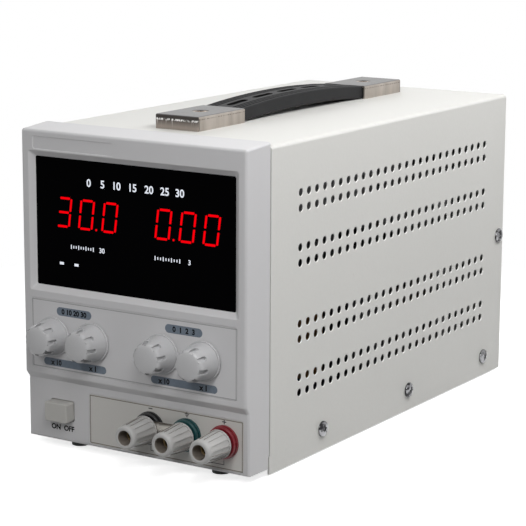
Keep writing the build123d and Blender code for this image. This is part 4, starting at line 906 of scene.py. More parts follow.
class SUPPLY_OT_bezel(bpy.types.Operator):
    """Moulds the stepped front bezel with its recesses"""

    bl_idname = "supply.bezel"
    bl_label = "Bezel"

    def execute(self, context):
        plastic = moulded("bezel_plastic", context.scene.supply_case.bezel_colour, 0.40, 800.0, 0.014, 0.018, 0.4)
        bezel = self.add_body(case_sizes())
        cut(bezel, self.window_tool())
        cut(bezel, joined("recess_tools", self.recess_tools()))
        self.round_recesses(bezel)
        fitted(smooth(bezel, 32), plastic, "case", "bezel_plastic", "front_bezel")
        return {"FINISHED"}

    def add_body(self, sizes):
        bezel = block("bezel", bezel_low, bezel_high - Vector((0, SEAM_GAP, 0)))
        front_top = bezel_high.z - BEZEL_TOP_DROP
        height = bezel_high.z - bezel_low.z
        narrow = ((bezel_high.x - BEZEL_DRAFT) / bezel_high.x, 1, (front_top - bezel_low.z) / height)
        with editing(bezel, "FACE", lambda middle, normal: normal.y < -0.9):
            bpy.ops.transform.resize(value=narrow, center_override=(0, face_y * MM, bezel_low.z * MM))
        for z in (STEP_HIGH_Z, STEP_LOW_Z):
            with editing(bezel):
                bpy.ops.mesh.bisect(plane_co=(0, 0, z * MM), plane_no=(0, 0, 1))
        with editing(bezel, "VERT", lambda p: p.y < face_y + 0.1 and p.z < STEP_LOW_Z + 0.1):
            bpy.ops.transform.translate(value=(0, STEP_BACK * MM, 0))
        self.round_outside(bezel, sizes["bezel_edge"], front_top)
        hollow_low = (bezel_low.x + BEZEL_WALL, low_face_y + BEZEL_WALL, bezel_low.z + BEZEL_WALL)
        hollow_high = (bezel_high.x - BEZEL_WALL, bezel_high.y + 1, bezel_high.z - BEZEL_WALL)
        tools = [block("hollow", hollow_low, hollow_high)]
        for side in (-1, 1):
            low, high = sorted((side * (bezel_high.x - TONGUE_ROOM), side * (bezel_high.x + 1)))
            notch_low = (low, bezel_high.y - TONGUE_ROOM, bezel_low.z - 1)
            tools.append(block("notch", notch_low, (high, bezel_high.y + 1, base_z + TONGUE_H + 0.4)))
        return cut(bezel, joined("bezel_tools", tools))

    def round_outside(self, bezel, radius, front_top):
        """Rounds the front outline, the long top edges and the upper edge of the step."""
        side = bezel_high.x - BEZEL_DRAFT

        def on_outline(a, b):
            middle = (a + b) / 2
            ahead = max(a.y, b.y) < low_face_y + 0.1
            outer = abs(middle.x) > side - 0.1 or middle.z > front_top - 0.1 or middle.z < bezel_low.z + 0.1
            along_top = min(a.z, b.z) > front_top - 0.1 and abs(a.y - b.y) > 5
            return (ahead and outer) or along_top

        bevelled(bezel, radius, 5, on_outline)

        def on_step(a, b):
            high = max(abs(a.z - STEP_HIGH_Z), abs(b.z - STEP_HIGH_Z)) < 0.05
            return high and max(a.y, b.y) < face_y + radius * 0.9

        bevelled(bezel, STEP_R, 3, on_step)

    def window_tool(self):
        tool = block("window_tool", (window_low.x, window_low.y, window_low.z), (window_high.x, face_y + 12, window_high.z))
        rise, side = window_low.y - face_y, WINDOW_BEVEL
        wide = window_high.x - window_low.x
        tall = window_high.z - window_low.z
        middle = (window_low + window_high) / 2
        for grown, out in ((1, rise), (2, rise)):
            share_x = (wide + 2 * side * grown) / (wide + 2 * side * (grown - 1))
            share_z = (tall + 2 * side * grown) / (tall + 2 * side * (grown - 1))
            front = window_low.y - rise * (grown - 1)
            with editing(tool, "FACE", lambda p, normal: normal.y < -0.9):
                bpy.ops.mesh.extrude_region_move(TRANSFORM_OT_translate={"value": (0, -out * MM, 0)})
                centre = (middle.x * MM, (front - out) * MM, middle.z * MM)
                bpy.ops.transform.resize(value=(share_x, 1, share_z), center_override=centre)
        return bevelled(tool, 0.8, 3, lambda a, b: abs(a.y - b.y) > 0.5 and min(a.y, b.y) < window_low.y - 0.1)

    def recess_tools(self):
        """Shallow fields for the name strip, the controls and the terminals, and the button's opening."""
        strip = Vector((window_low.x - 0.1, face_y, cover_high.z - STRIP_DROP))
        fields = [
            ("name_field", strip, strip + Vector((STRIP_W, 0, STRIP_H)), RECESS_DEPTH, 1.2),
            ("control_field", control_low, control_high, RECESS_DEPTH, 1.3),
            ("terminal_field", terminal_low, terminal_high, RECESS_DEPTH, 1.2),
            ("button_field", button_low, button_high, BUTTON_BORE, 1.2),
        ]
        tools = []
        for name, low, high, depth, radius in fields:
            front = low_face_y if high.z < STEP_LOW_Z else face_y
            grown = 0.0 if name == "name_field" else RECESS_GAP
            x0, x1, z0, z1 = low.x - grown, high.x + grown, low.z - grown, high.z + grown
            tool = block(name, (x0, front - 1, z0), (x1, front + depth, z1))
            tools.append(bevelled(tool, radius, 4, lambda a, b: abs(a.y - b.y) > 0.3))
        return tools

    def round_recesses(self, bezel):
        """Softens the rims that the recesses leave on the two front faces."""

        def on_rim(a, b):
            for y in (face_y, low_face_y):
                if abs(a.y - y) < 0.005 and abs(b.y - y) < 0.005:
                    inside = all(abs(p.x) < bezel_high.x - 3.2 and bezel_low.z + 1.3 < p.z < bezel_high.z - 3.5 for p in (a, b))
                    at_step = any(STEP_LOW_Z - 2.2 < p.z < STEP_HIGH_Z + 2.2 for p in (a, b))
                    return inside and not at_step
            return False

        choose(bezel)
        bpy.ops.object.mode_set(mode="EDIT")
        bpy.ops.mesh.select_mode(type="EDGE")
        bpy.ops.mesh.select_all(action="DESELECT")
        bpy.ops.mesh.edges_select_sharp(sharpness=radians(25))
        bpy.ops.object.mode_set(mode="OBJECT")
        mesh = bezel.data
        for edge in mesh.edges:
            first, second = (mesh.vertices[i].co / MM for i in edge.vertices)
            edge.select = edge.select and on_rim(first, second)
        bpy.ops.object.mode_set(mode="EDIT")
        bpy.ops.mesh.bevel(offset=RIM_R * MM, segments=2, profile=0.5, affect="EDGES")
        bpy.ops.object.mode_set(mode="OBJECT")


TONGUE_H = 8.9
TONGUE_OUT = 0.6
VENT_FIRST = 26.6
VENT_RIM = 0.24
VENT_FLARE = 1.5
VENT_MARGIN = 5
RIM_R = 0.2
WINDOW_BEVEL = 2.9
STRIP_W = 49.3
STRIP_H = 6.3
STRIP_DROP = 9.0
BUTTON_BORE = 8.0
RECESS_GAP = 0.35
STEP_R = 0.6
SEAM_GAP = 0.3
TONGUE_ROOM = 0.9


# ------------------------------------------------------------------ display
class SUPPLY_OT_display(bpy.types.Operator):
    """Fits the dark window, its red digits and its printed scales"""

    bl_idname = "supply.display"
    bl_label = "Display"

    def execute(self, context):
        panel = context.scene.supply_panel
        finish_node("display_window", dark_window("window_acrylic"))
        red = glowing("digit_light", panel.digit_colour)
        # White print on the window is given a glow of its own: painted light.
        white = glowing("white_print_painted_glow", (0.80, 0.84, 0.92))
        self.add_reading("voltage_digits", panel.volts, VOLT_DIGITS, red)
        self.add_reading("current_digits", panel.amps, AMP_DIGITS, red)
        self.add_scales(white)
        return {"FINISHED"}

    def add_reading(self, name, words, middles, red):
        """Writes one number in leaning seven-bar digits."""
        bars = []
        places = iter(middles)
        last = 0.0
        for sign in words:
            if sign == ".":
                point_z = DIGIT_Z - DIGIT_H / 2 + 0.75
                bars.append(self.add_bar(last + DIGIT_W / 2 + 2.3, point_z, DIGIT_STROKE, DIGIT_STROKE, False))
                continue
            last = next(places)
            for bar in BARS_OF[sign]:
                x, z, length, upright = BAR_PLACES[bar]
                size = (DIGIT_STROKE, length) if upright else (length, DIGIT_STROKE)
                bars.append(self.add_bar(last + x, DIGIT_Z + z, *size, True))
        reading = joined(name, bars)
        fitted(sheared(reading, DIGIT_LEAN, DIGIT_Z), red, "case", "window_tint")

    def add_bar(self, x, z, width, height, cut_ends):
        y = window_low.y
        bar = block("bar", (x - width / 2, y - PRINT_T, z - height / 2), (x + width / 2, y + PRINT_T, z + height / 2))
        return bevelled(bar, 0.34 if cut_ends else 0.5, 2, lambda a, b: abs(a.y - b.y) > PRINT_T)

    def add_scales(self, white):
        y = window_low.y
        numbers = [
            lettering(f"scale_{number}", number, 3.9, (x, y, SCALE_Z), weight=0.02)
            for x, number in zip(SCALE_PLACES, SCALE_NUMBERS)
        ]
        fitted(joined("window_scale", numbers), white, "case", "window_tint")
        small = [
            printed("ticks", [(x, UNIT_Z, 0.55, 2.1 if i % 3 == 0 else 1.3) for i, x in enumerate(row)], y)
            for row in TICK_ROWS
        ]
        small += [lettering(f"unit_{words}", words, 2.5, (x, y, UNIT_Z), weight=0.02) for words, x in UNIT_MARKS]
        small += [printed("lamps", [(x, LAMP_Z, 2.5, 1.3) for x in LAMP_PLACES], y)]
        fitted(joined("window_marks", small), white, "case", "window_tint")


VOLT_DIGITS = (-42.1, -28.2, -14.0)
AMP_DIGITS = (17.8, 31.8, 45.6)
BAR_PLACES = {
    "top": (0, 7.05, 6.0, False),
    "middle": (0, 0, 6.0, False),
    "bottom": (0, -7.05, 6.0, False),
    "upper_left": (-3.86, 3.75, 6.3, True),
    "upper_right": (3.86, 3.75, 6.3, True),
    "lower_left": (-3.86, -3.75, 6.3, True),
    "lower_right": (3.86, -3.75, 6.3, True),
}
RIGHT_BARS = ("upper_right", "lower_right")
LEFT_BARS = ("upper_left", "lower_left")
BARS_OF = {
    "0": ("top", "bottom", *LEFT_BARS, *RIGHT_BARS),
    "1": RIGHT_BARS,
    "2": ("top", "middle", "bottom", "upper_right", "lower_left"),
    "3": ("top", "middle", "bottom", *RIGHT_BARS),
    "4": ("middle", "upper_left", *RIGHT_BARS),
    "5": ("top", "middle", "bottom", "upper_left", "lower_right"),
    "6": ("top", "middle", "bottom", "lower_right", *LEFT_BARS),
    "7": ("top", *RIGHT_BARS),
    "8": ("top", "middle", "bottom", *LEFT_BARS, *RIGHT_BARS),
    "9": ("top", "middle", "bottom", "upper_left", *RIGHT_BARS),
}
SCALE_NUMBERS = ("0", "5", "10", "15", "20", "25", "30")
SCALE_Z = 137.4
UNIT_Z = 104.6
LAMP_Z = 95.7
SCALE_PLACES = (-26.6, -18.3, -9.5, 0.0, 9.4, 18.6, 27.4)
TICK_ROWS = ([-37.8 + 1.5 * i for i in range(10)], [12.8 + 1.6 * i for i in range(10)])
UNIT_MARKS = (("30", -19.0), ("3", 32.8))
LAMP_PLACES = (-43.9, -34.8)


# ------------------------------------------------------------------ controls
class SUPPLY_OT_control_panel(bpy.types.Operator):
    """Lays the label of the controls with its printed fields"""

    bl_idname = "supply.control_panel"
    bl_label = "Control panel"

    def execute(self, context):
        colour = context.scene.supply_case.bezel_colour
        finish_node("control_label", moulded("label_film", lit(colour, 1.01), 0.36, 500.0, 0.012, 0.015, 0.4))
        slate = ink("slate_print", (0.175, 0.215, 0.265))
        black = ink("black_print", (0.006, 0.006, 0.007), 0.1)
        fields = []
        for x, z, width, height in PILLS:
            pill_low = (x - width / 2, label_y - PRINT_T, z - height / 2)
            pill = block("pill", pill_low, (x + width / 2, label_y + PRINT_T, z + height / 2))
            fields.append(bevelled(pill, height / 2 - 0.05, 8, lambda a, b: abs(a.y - b.y) > PRINT_T))
        fitted(joined("printed_fields", fields), slate, "case", "label_grey")
        edge = ink("label_edge", lit(colour, 0.62))
        fitted(printed("control_outline", outline(control_low, control_high, OUTLINE_W), label_y), edge, "case", "label_grey")
        marks = [lettering("mark", words, 2.8, (x, label_y - PRINT_T, z), weight=0.045) for words, x, z in PILL_MARKS]
        fitted(joined("field_marks", marks), black, "case", "label_grey")
        return {"FINISHED"}


OUTLINE_W = 0.45
PILLS = ((-35.05, 71.7, 21.5, 4.3), (30.9, 71.7, 21.6, 4.3), (-34.9, 45.2, 38.8, 3.9), (30.95, 45.2, 38.7, 3.9))
PILL_MARKS = (
    ("0 10 20 30", -35.05, 71.7),
    ("0  1  2  3", 30.9, 71.7),
    ("x 10", -46.6, 45.2),
    ("x 1", -24.0, 45.2),
    ("x 10", 19.2, 45.2),
    ("x 1", 42.0, 45.2),
)


class SUPPLY_OT_knobs(bpy.types.Operator):
    """Turns one slotted knob and copies it to the four controls"""

    bl_idname = "supply.knobs"
    bl_label = "Knobs"

    def execute(self, context):
        panel = context.scene.supply_panel
        plastic = moulded("knob_plastic", panel.knob_colour, 0.24, 1300.0, 0.006, 0.02, 0.5)
        # The slot walls get a darker copy of the knob plastic: painted shade in the slots.
        shaded = moulded("knob_slots", lit(panel.knob_colour, 0.72), 0.4, 1300.0, 0.006, 0.02, 0.3)
        first = None
        for number, name in enumerate(KNOBS):
            low, high = corners(f"{name}_knob")
            middle = Vector(((low.x + high.x) / 2, high.y, (low.z + high.z) / 2))
            if first is None:
                knob = self.add_knob(f"{name}_grip", panel.knob_slots, high.y - low.y, (high.x - low.x) / 2)
                first, start = placed(knob, middle, FRONT), middle
                knob = first
            else:
                knob = copied(first, f"{name}_grip", middle - start, radians(KNOB_TURNS[number]), start, "Y")
            fitted(knob, plastic, f"{name}_knob", "knob_plastic", f"{name}_knob", second=shaded)
        return {"FINISHED"}

    def add_knob(self, name, slots, length, flange_r):
        profile = [
            (0.0, flange_r - 0.15),
            (0.15, flange_r),
            (0.85, flange_r),
            (1.05, flange_r - 0.2),
            (1.05, KNOB_ROOT_R + 0.12),
            (0.75, KNOB_ROOT_R),
            (1.5, KNOB_ROOT_R - 0.02),
            (length - 3.0, KNOB_TIP_R + 0.22),
            (length - 2.2, KNOB_TIP_R + 0.02),
            (length - 1.6, KNOB_TIP_R - 0.28),
            (length - 1.15, KNOB_TIP_R - 0.72),
            (length - 0.82, KNOB_TIP_R - 1.35),
            (length - 0.57, KNOB_TIP_R - 2.2),
            (length - 0.37, KNOB_TIP_R - 3.3),
            (length - 0.2, KNOB_TIP_R - 4.6),
            (length - 0.07, KNOB_TIP_R - 6.1),
            (length, 0.2),
        ]
        knob = turned(name, profile, 72)
        lean = (KNOB_ROOT_R - KNOB_TIP_R) / length
        slot = stadium("slot", SLOT_W, 2 * SLOT_L, 4.0, SLOT_W / 2 - 0.02)
        slot.data.transform(Matrix.Rotation(pi / 2, 4, "X") @ Matrix.Rotation(-lean / 2, 4, "X"))
        slot.data.transform(Matrix.Translation(Vector((0, -(KNOB_TIP_R - SLOT_DEPTH), length)) * MM))
        tools = [copied(slot, "slot_copy", turn=i * 2 * pi / slots, axis="Z") for i in range(1, slots)]
        cut(knob, joined("slots", [slot] + tools))
        smooth(softened(knob, 0.12, 2, 40), 38)

        # Marks the slot walls that take the painted shade.
        def in_slot(middle, normal):
            outward = Vector(middle[:2])
            wall = KNOB_ROOT_R - lean * middle.z
            across = abs(normal.x * outward.y - normal.y * outward.x) / max(outward.length, 0.01)
            return across > 0.6 and middle.z > length * 0.4 and outward.length < wall - 0.1

        return marked(knob, in_slot)


KNOB_ROOT_R = 9.3
KNOB_TIP_R = 7.85
KNOB_TURNS = (0, 10, -7, 16)
SLOT_W = 2.3
SLOT_L = 6.4
SLOT_DEPTH = 1.15


class SUPPLY_OT_power_button(bpy.types.Operator):
    """Moulds the power button and prints its two states"""

    bl_idname = "supply.power_button"
    bl_label = "Power button"

    def execute(self, context):
        beige = moulded("button_plastic", (0.56, 0.55, 0.52), 0.36, 900.0, 0.01, 0.02, 0.45)
        low = Vector((button_low.x, button_low.y, button_low.z))
        high = Vector((button_high.x, low_face_y + 2.6, button_high.z))
        button = block("power_key", low, high)
        bevelled(button, 1.15, 4, lambda a, b: abs(a.y - b.y) > 3)
        with editing(button, "FACE", lambda middle, normal: normal.y < -0.9):
            bpy.ops.mesh.bevel(offset=0.75 * MM, segments=4, profile=0.5, affect="EDGES")
        fitted(smooth(button, 40), beige, "power_button", "button_plastic", "power_button")
        black = ink("button_print", (0.006, 0.006, 0.007), 0.1)
        words = lettering("power_mark", "ON  OFF", 2.9, ((low.x + high.x) / 2, low_face_y, 11.1), weight=0.045)
        fitted(words, black, "case", "bezel_plastic")
        return {"FINISHED"}


# ------------------------------------------------------------------ terminals
class SUPPLY_OT_terminals(bpy.types.Operator):
    """Builds the three binding posts, their label and its marks"""

    bl_idname = "supply.terminals"
    bl_label = "Terminals"

    def execute(self, context):
        finish_node("terminal_label", moulded("terminal_film", (0.67, 0.655, 0.625), 0.34, 520.0, 0.012, 0.015, 0.4))
        self.add_flanges()
        self.add_caps(context.scene.supply_panel.cap_flutes)
        brass = bright_metal("turned_brass", (0.55, 0.42, 0.22), 0.24, dark=0.4)
        link = self.link_finish()
        for name in POSTS:
            finish_node(f"{name}_stud", brass)
            finish_node(f"{name}_insert", brass)
        finish_node("shorting_link", link)
        self.add_marks()
        return {"FINISHED"}

    def link_finish(self):
        """Nickel of the shorting link: a painted highlight band along its top, painted shade below."""
        low, high = corners("shorting_link")
        f = Finish("link_plate_painted_light")
        height = f.between(f.along("Z"), low.z * MM, high.z * MM)
        # Painted highlight band across the upper part; the rest is painted shade.
        band = f.between(height, 0.45, 0.68) * (1.0 - f.between(height, 0.82, 0.96))
        tone = f.mix(band, (0.16, 0.145, 0.125), (0.86, 0.83, 0.78))
        return f.surface(Base_Color=tone, Metallic=0.9, Roughness=0.2 + 0.16 * f.noise(300.0, 2.0))

    def add_flanges(self):
        """Coloured collars: a broad foot, a groove and a narrower collar."""
        for name, colour in zip(POSTS, FLANGE_COLOURS):
            low, high = corners(f"{name}_flange")
            radius = (high.x - low.x) / 2
            tall = terminal_y - low.y
            profile = [
                (-0.05, radius),
                (tall * 0.30, radius),
                (tall * 0.38, radius - 0.15),
                (tall * 0.42, radius - 0.9),
                (tall * 0.54, radius - 0.9),
                (tall * 0.58, radius - 0.3),
                (tall * 0.84, radius - 0.3),
                (tall * 0.96, radius - 0.6),
                (tall, radius - 0.9),
                (tall, 3.1),
            ]
            place = ((low.x + high.x) / 2, terminal_y, (low.z + high.z) / 2)
            collar = turned(f"{name}_collar", profile, 56, place, FRONT)
            shell = moulded(f"collar_{name}", colour, 0.28, 900.0, 0.008, 0.08, 0.4)
            fitted(smooth(collar, 30), shell, "case", FLANGE_SLOTS[name], f"{name}_flange")

    def add_caps(self, flutes):
        milky = milky_cap("cap_plastic")
        # The mouth and the flute walls get a dark brown finish: painted shade in the bore and flutes.
        mouth = moulded("cap_mouth_painted_shade", (0.23, 0.205, 0.18), 0.5, 700.0, 0.02, 0.15, 0.2)
        first = None
        for name, turn in zip(POSTS, CAP_TURNS):
            low, high = corners(f"{name}_cap")
            middle = Vector(((low.x + high.x) / 2, high.y, (low.z + high.z) / 2))
            if first is None:
                first = placed(self.add_cap(f"{name}_grip", flutes, high.y - low.y), middle, FRONT)
                cap, start = first, middle
            else:
                cap = copied(first, f"{name}_grip", middle - start, radians(turn), start, "Y")
            fitted(cap, milky, f"{name}_cap", "cap_clear", f"{name}_cap", second=mouth)

    def add_cap(self, name, flutes, length):
        profile = [
            (0.0, 5.2),
            (0.0, CAP_REAR_R - 0.25),
            (0.25, CAP_REAR_R),
            (1.2, CAP_REAR_R - 0.1),
            (length - 2.6, CAP_FRONT_R + 0.28),
            (length - 1.1, CAP_FRONT_R + 0.1),
            (length - 0.5, CAP_FRONT_R - 0.12),
            (length - 0.12, CAP_FRONT_R - 0.55),
            (length, CAP_FRONT_R - 1.05),
            (length, CAP_MOUTH_R + 0.45),
            (length - 0.12, CAP_MOUTH_R + 0.15),
            (length - 0.5, CAP_MOUTH_R),
            (6.0, CAP_MOUTH_R - 0.25),
            (6.0, 5.2),
        ]
        cap = turned(name, profile, 84, ring=True)
        start, end = 1.1, length - 2.2
        lean = (CAP_REAR_R - CAP_FRONT_R) / length
        groove = stadium("groove", FLUTE_W, end - start, 3.0, FLUTE_W / 2 - 0.02)
        with editing(groove, "VERT", lambda p: p.y < 0):
            bpy.ops.transform.resize(value=(CAP_REAR_R / CAP_FRONT_R * 1.06, 1, 1), center_override=(0, 0, 0))
        groove.data.transform(Matrix.Rotation(-lean, 4, "X") @ Matrix.Translation((0, 0, -CAP_FLUTE_DEPTH * MM)))
        upright = Matrix.Rotation(pi / 2, 4, "X")
        groove.data.transform(Matrix.Rotation(pi, 4, "Z") @ upright)
        middle_r = CAP_REAR_R - lean * (start + end) / 2
        groove.data.transform(Matrix.Translation(Vector((0, middle_r, (start + end) / 2)) * MM))
        tools = [copied(groove, "groove_copy", turn=i * 2 * pi / flutes, axis="Z") for i in range(1, flutes)]
        cut(cap, joined("grooves", [groove] + tools))
        smooth(softened(cap, 0.05, 1, 38), 30)

        def in_shade(middle, normal):
            """The mouth and the side walls of the flutes, which get the painted shade."""
            out = Vector(middle[:2])
            across = abs(normal.x * out.y - normal.y * out.x) / max(out.length, 0.1)
            return out.length < CAP_MOUTH_R + 0.25 or (across > 0.7 and start < middle.z < end)

        return marked(cap, in_shade)

    def add_marks(self):
        black = ink("terminal_print", (0.015, 0.015, 0.017))
        y = terminal_y
        middles = {}
        for name in POSTS:
            low, high = corners(f"{name}_cap")
            middles[name] = (low.x + high.x) / 2
        negative, ground, positive = (middles[name] for name in POSTS)
        up = MARK_Z
        bars = [(negative, up, 2.4, 0.5), (positive, up, 2.4, 0.5), (positive, up, 0.5, 2.4)]
        bars += [(ground, up + 1.2, 0.4, 1.0)]
        bars += [(ground, up + rise, wide, 0.4) for rise, wide in ((0.6, 2.6), (-0.1, 1.7), (-0.8, 0.8))]
        middle = (ground + positive) / 2
        bars += [(middle, DC_Z + 0.55, 5.4, 0.5)] + [(middle + step, DC_Z - 0.55, 1.3, 0.5) for step in (-2.05, 0, 2.05)]
        fitted(printed("terminal_marks", bars, y), black, "case", "label_warm")
        edge = ink("terminal_edge", (0.24, 0.215, 0.18))
        fitted(printed("terminal_outline", outline(terminal_low, terminal_high, OUTLINE_W), y), edge, "case", "label_warm")
        self.add_bracket(negative, positive, black)

    def add_bracket(self, negative, positive, black):
        """Thin printed brackets that tie the two output posts to the mark between them."""
        lines = []
        for outer, inner in ((negative, negative + 9.5), (positive, positive - 9.5)):
            side = 1 if inner > outer else -1
            width = abs(inner - outer)
            behind, ahead = terminal_y - PRINT_T, terminal_y + PRINT_T
            line_end = (outer + side * width, ahead, BRACKET_Z + BRACKET_LINE)
            line = block("line", (outer, behind, BRACKET_Z), line_end)
            post_end = (outer + side * BRACKET_LINE, ahead, BRACKET_Z + 4.0)
            post = block("post", (outer, behind, BRACKET_Z + 0.1), post_end)
            lines += [line, post]
        bracket = joined("terminal_bracket", lines)
        with editing(bracket):
            closed_up()
        fitted(bracket, black, "case", "label_warm")


FLANGE_COLOURS = ((0.010, 0.010, 0.011), (0.010, 0.062, 0.066), (0.21, 0.012, 0.02))
FLANGE_SLOTS = {"negative": "flange_black", "ground": "flange_green", "positive": "flange_red"}
CAP_TURNS = (0, 9, -6)
CAP_REAR_R = 7.2
CAP_FRONT_R = 5.8
CAP_MOUTH_R = 3.6
CAP_FLUTE_DEPTH = 0.45
FLUTE_W = 2.1
MARK_Z = 29.4
BRACKET_LINE = 0.3
DC_Z = 8.6
BRACKET_Z = 8.0


# ------------------------------------------------------------------ handle
class SUPPLY_OT_handle(bpy.types.Operator):
    """Shapes the strap handle and the screws of its caps, and finishes the plated caps"""

    bl_idname = "supply.handle"
    bl_label = "Handle"

    def execute(self, context):
        for name in ("handle_cap_front", "handle_cap_rear"):
            low, high = corners(name)
            outer_y = low.y if high.y < 0 else high.y
            finish_node(name, nickel_with_painted_reflections(f"{name}_nickel", low, high, outer_y))
        rubber = ribbed_rubber("strap_rubber", (0.017, 0.017, 0.018))
        finish_node("strap_tabs", rubber)
        self.add_screws()
        self.add_strap(rubber)
        return {"FINISHED"}

    def add_screws(self):
        eyelet = bright_metal("eyelet_plate", (0.70, 0.56, 0.44), 0.2, dark=0.45)
        # The middle of each head gets a near-black finish: painted shade in its recess.
        shadow = bright_metal("eyelet_middle_painted_shade", (0.04, 0.03, 0.025), 0.4)
        low, high = corners("handle_screws")
        x = (low.x + high.x) / 2
        radius = (high.x - low.x) / 2
        for name, y in (("front", low.y + radius), ("rear", high.y - radius)):
            screw = cross_head(f"handle_screw_{name}", radius, 1.75, 4.0, (x, y, high.z - 1.8), TOP)
            # Marks the middle of the head for the painted shade.
            marked(screw, lambda middle, normal: Vector((middle.x - x, middle.y - y)).length < radius * 0.5)
            fitted(screw, eyelet, "case", "steel", "handle_screws", second=shadow)

    def add_strap(self, rubber):
        # A near-black finish for the groove and slot faces: painted shade.
        hollow = moulded("strap_grooves_painted_shade", (0.005, 0.005, 0.005), 0.6, 900.0, 0.02, 0.3, 0.1)
        start, end = strap_front_low.y, strap_rear_high.y
        middle_x = (grip_low.x + grip_high.x) / 2
        half = (grip_high.x - grip_low.x) / 2
        low_z, end_top = strap_front_low.z, cover_high.z + 7.2
        strap = block("strap", (middle_x - half, start, low_z), (middle_x + half, end, end_top))
        bevelled(strap, 0.9, 3, lambda a, b: abs(a.y - b.y) > 50)
        with editing(strap, "EDGE", lambda a, b: abs(a.y - b.y) > 50):
            bpy.ops.mesh.subdivide(number_cuts=STRAP_CUTS)
        cut(strap, joined("strap_tools", self.groove_tools(middle_x, half, start, end, end_top)))
        # Faces inside the top grooves and slots take the near-black finish as painted shade.
        marked(strap, lambda middle, normal: end_top - 1.5 < middle.z < end_top - 0.2 and abs(middle.x - middle_x) < half - 1)
        self.bow(strap, start, end, low_z, end_top)
        edges = (
            ("strap_end_front", start - 1, grip_low.y),
            ("strap_grip", grip_low.y, grip_high.y),
            ("strap_end_rear", grip_high.y, end + 1),
        )
        parts = [self.stretch(strap, name, first, last) for name, first, last in edges]
        bpy.data.meshes.remove(strap.data)
        front, grip, rear = (smooth(part, 35) for part in parts)
        fitted(grip, rubber, "handle_grip", "strap_plastic", "handle_grip", second=hollow)
        for end_part, node, first, last in (
            (front, "strap_front", (0, start, low_z), (0, grip_low.y, low_z)),
            (rear, "strap_rear", (0, end, low_z), (0, grip_high.y, low_z)),
        ):
            end_part.data.materials.append(rubber)
            end_part.data.materials.append(hollow)
            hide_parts(node)
            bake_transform(end_part)

    def groove_tools(self, middle_x, half, start, end, top):
        tools = []
        for offset in GROOVES:
            for side in (-1, 1):
                x = middle_x + side * (half - offset)
                low = (x - GROOVE_W / 2, start - 1, top - GROOVE_DEPTH)
                tools.append(block("groove", low, (x + GROOVE_W / 2, end + 1, top + 1)))
        middle_y = (start + end) / 2
        slot = stadium("oval", OVAL_W, OVAL_L, 2.0, OVAL_W / 2 - 0.02)
        for i in range(-2, 3):
            shift = (middle_x, middle_y + i * OVAL_PITCH, top - GROOVE_DEPTH)
            tools.append(copied(slot, "oval_copy", shift))
        bpy.data.meshes.remove(slot.data)
        return tools

    def bow(self, strap, start, end, low_z, top):
        """Arches the straight strap: its underside a little less than its top."""
        half, middle = (end - start) / 2, (start + end) / 2
        for corner in strap.data.vertices:
            y, z = corner.co.y / MM, corner.co.z / MM
            arch = 1 - ((y - middle) / half) ** 2
            share = (z - low_z) / (top - low_z)
            corner.co.z += arch * (STRAP_BOW[0] + share * (STRAP_BOW[1] - STRAP_BOW[0])) * MM

    def stretch(self, strap, name, first, last):
        part = copied(strap, name)
        with editing(part):
            bpy.ops.mesh.bisect(plane_co=(0, first * MM, 0), plane_no=(0, 1, 0), use_fill=True, clear_inner=True)
            bpy.ops.mesh.select_all(action="SELECT")
            bpy.ops.mesh.bisect(plane_co=(0, last * MM, 0), plane_no=(0, 1, 0), use_fill=True, clear_outer=True)
        return part


STRAP_CUTS = 40
GROOVES = (2.0, 4.1, 6.2)
GROOVE_W = 1.25
GROOVE_DEPTH = 0.9
OVAL_W = 4.0
OVAL_L = 17.0
OVAL_PITCH = 24.0
STRAP_BOW = (2.4, 2.8)


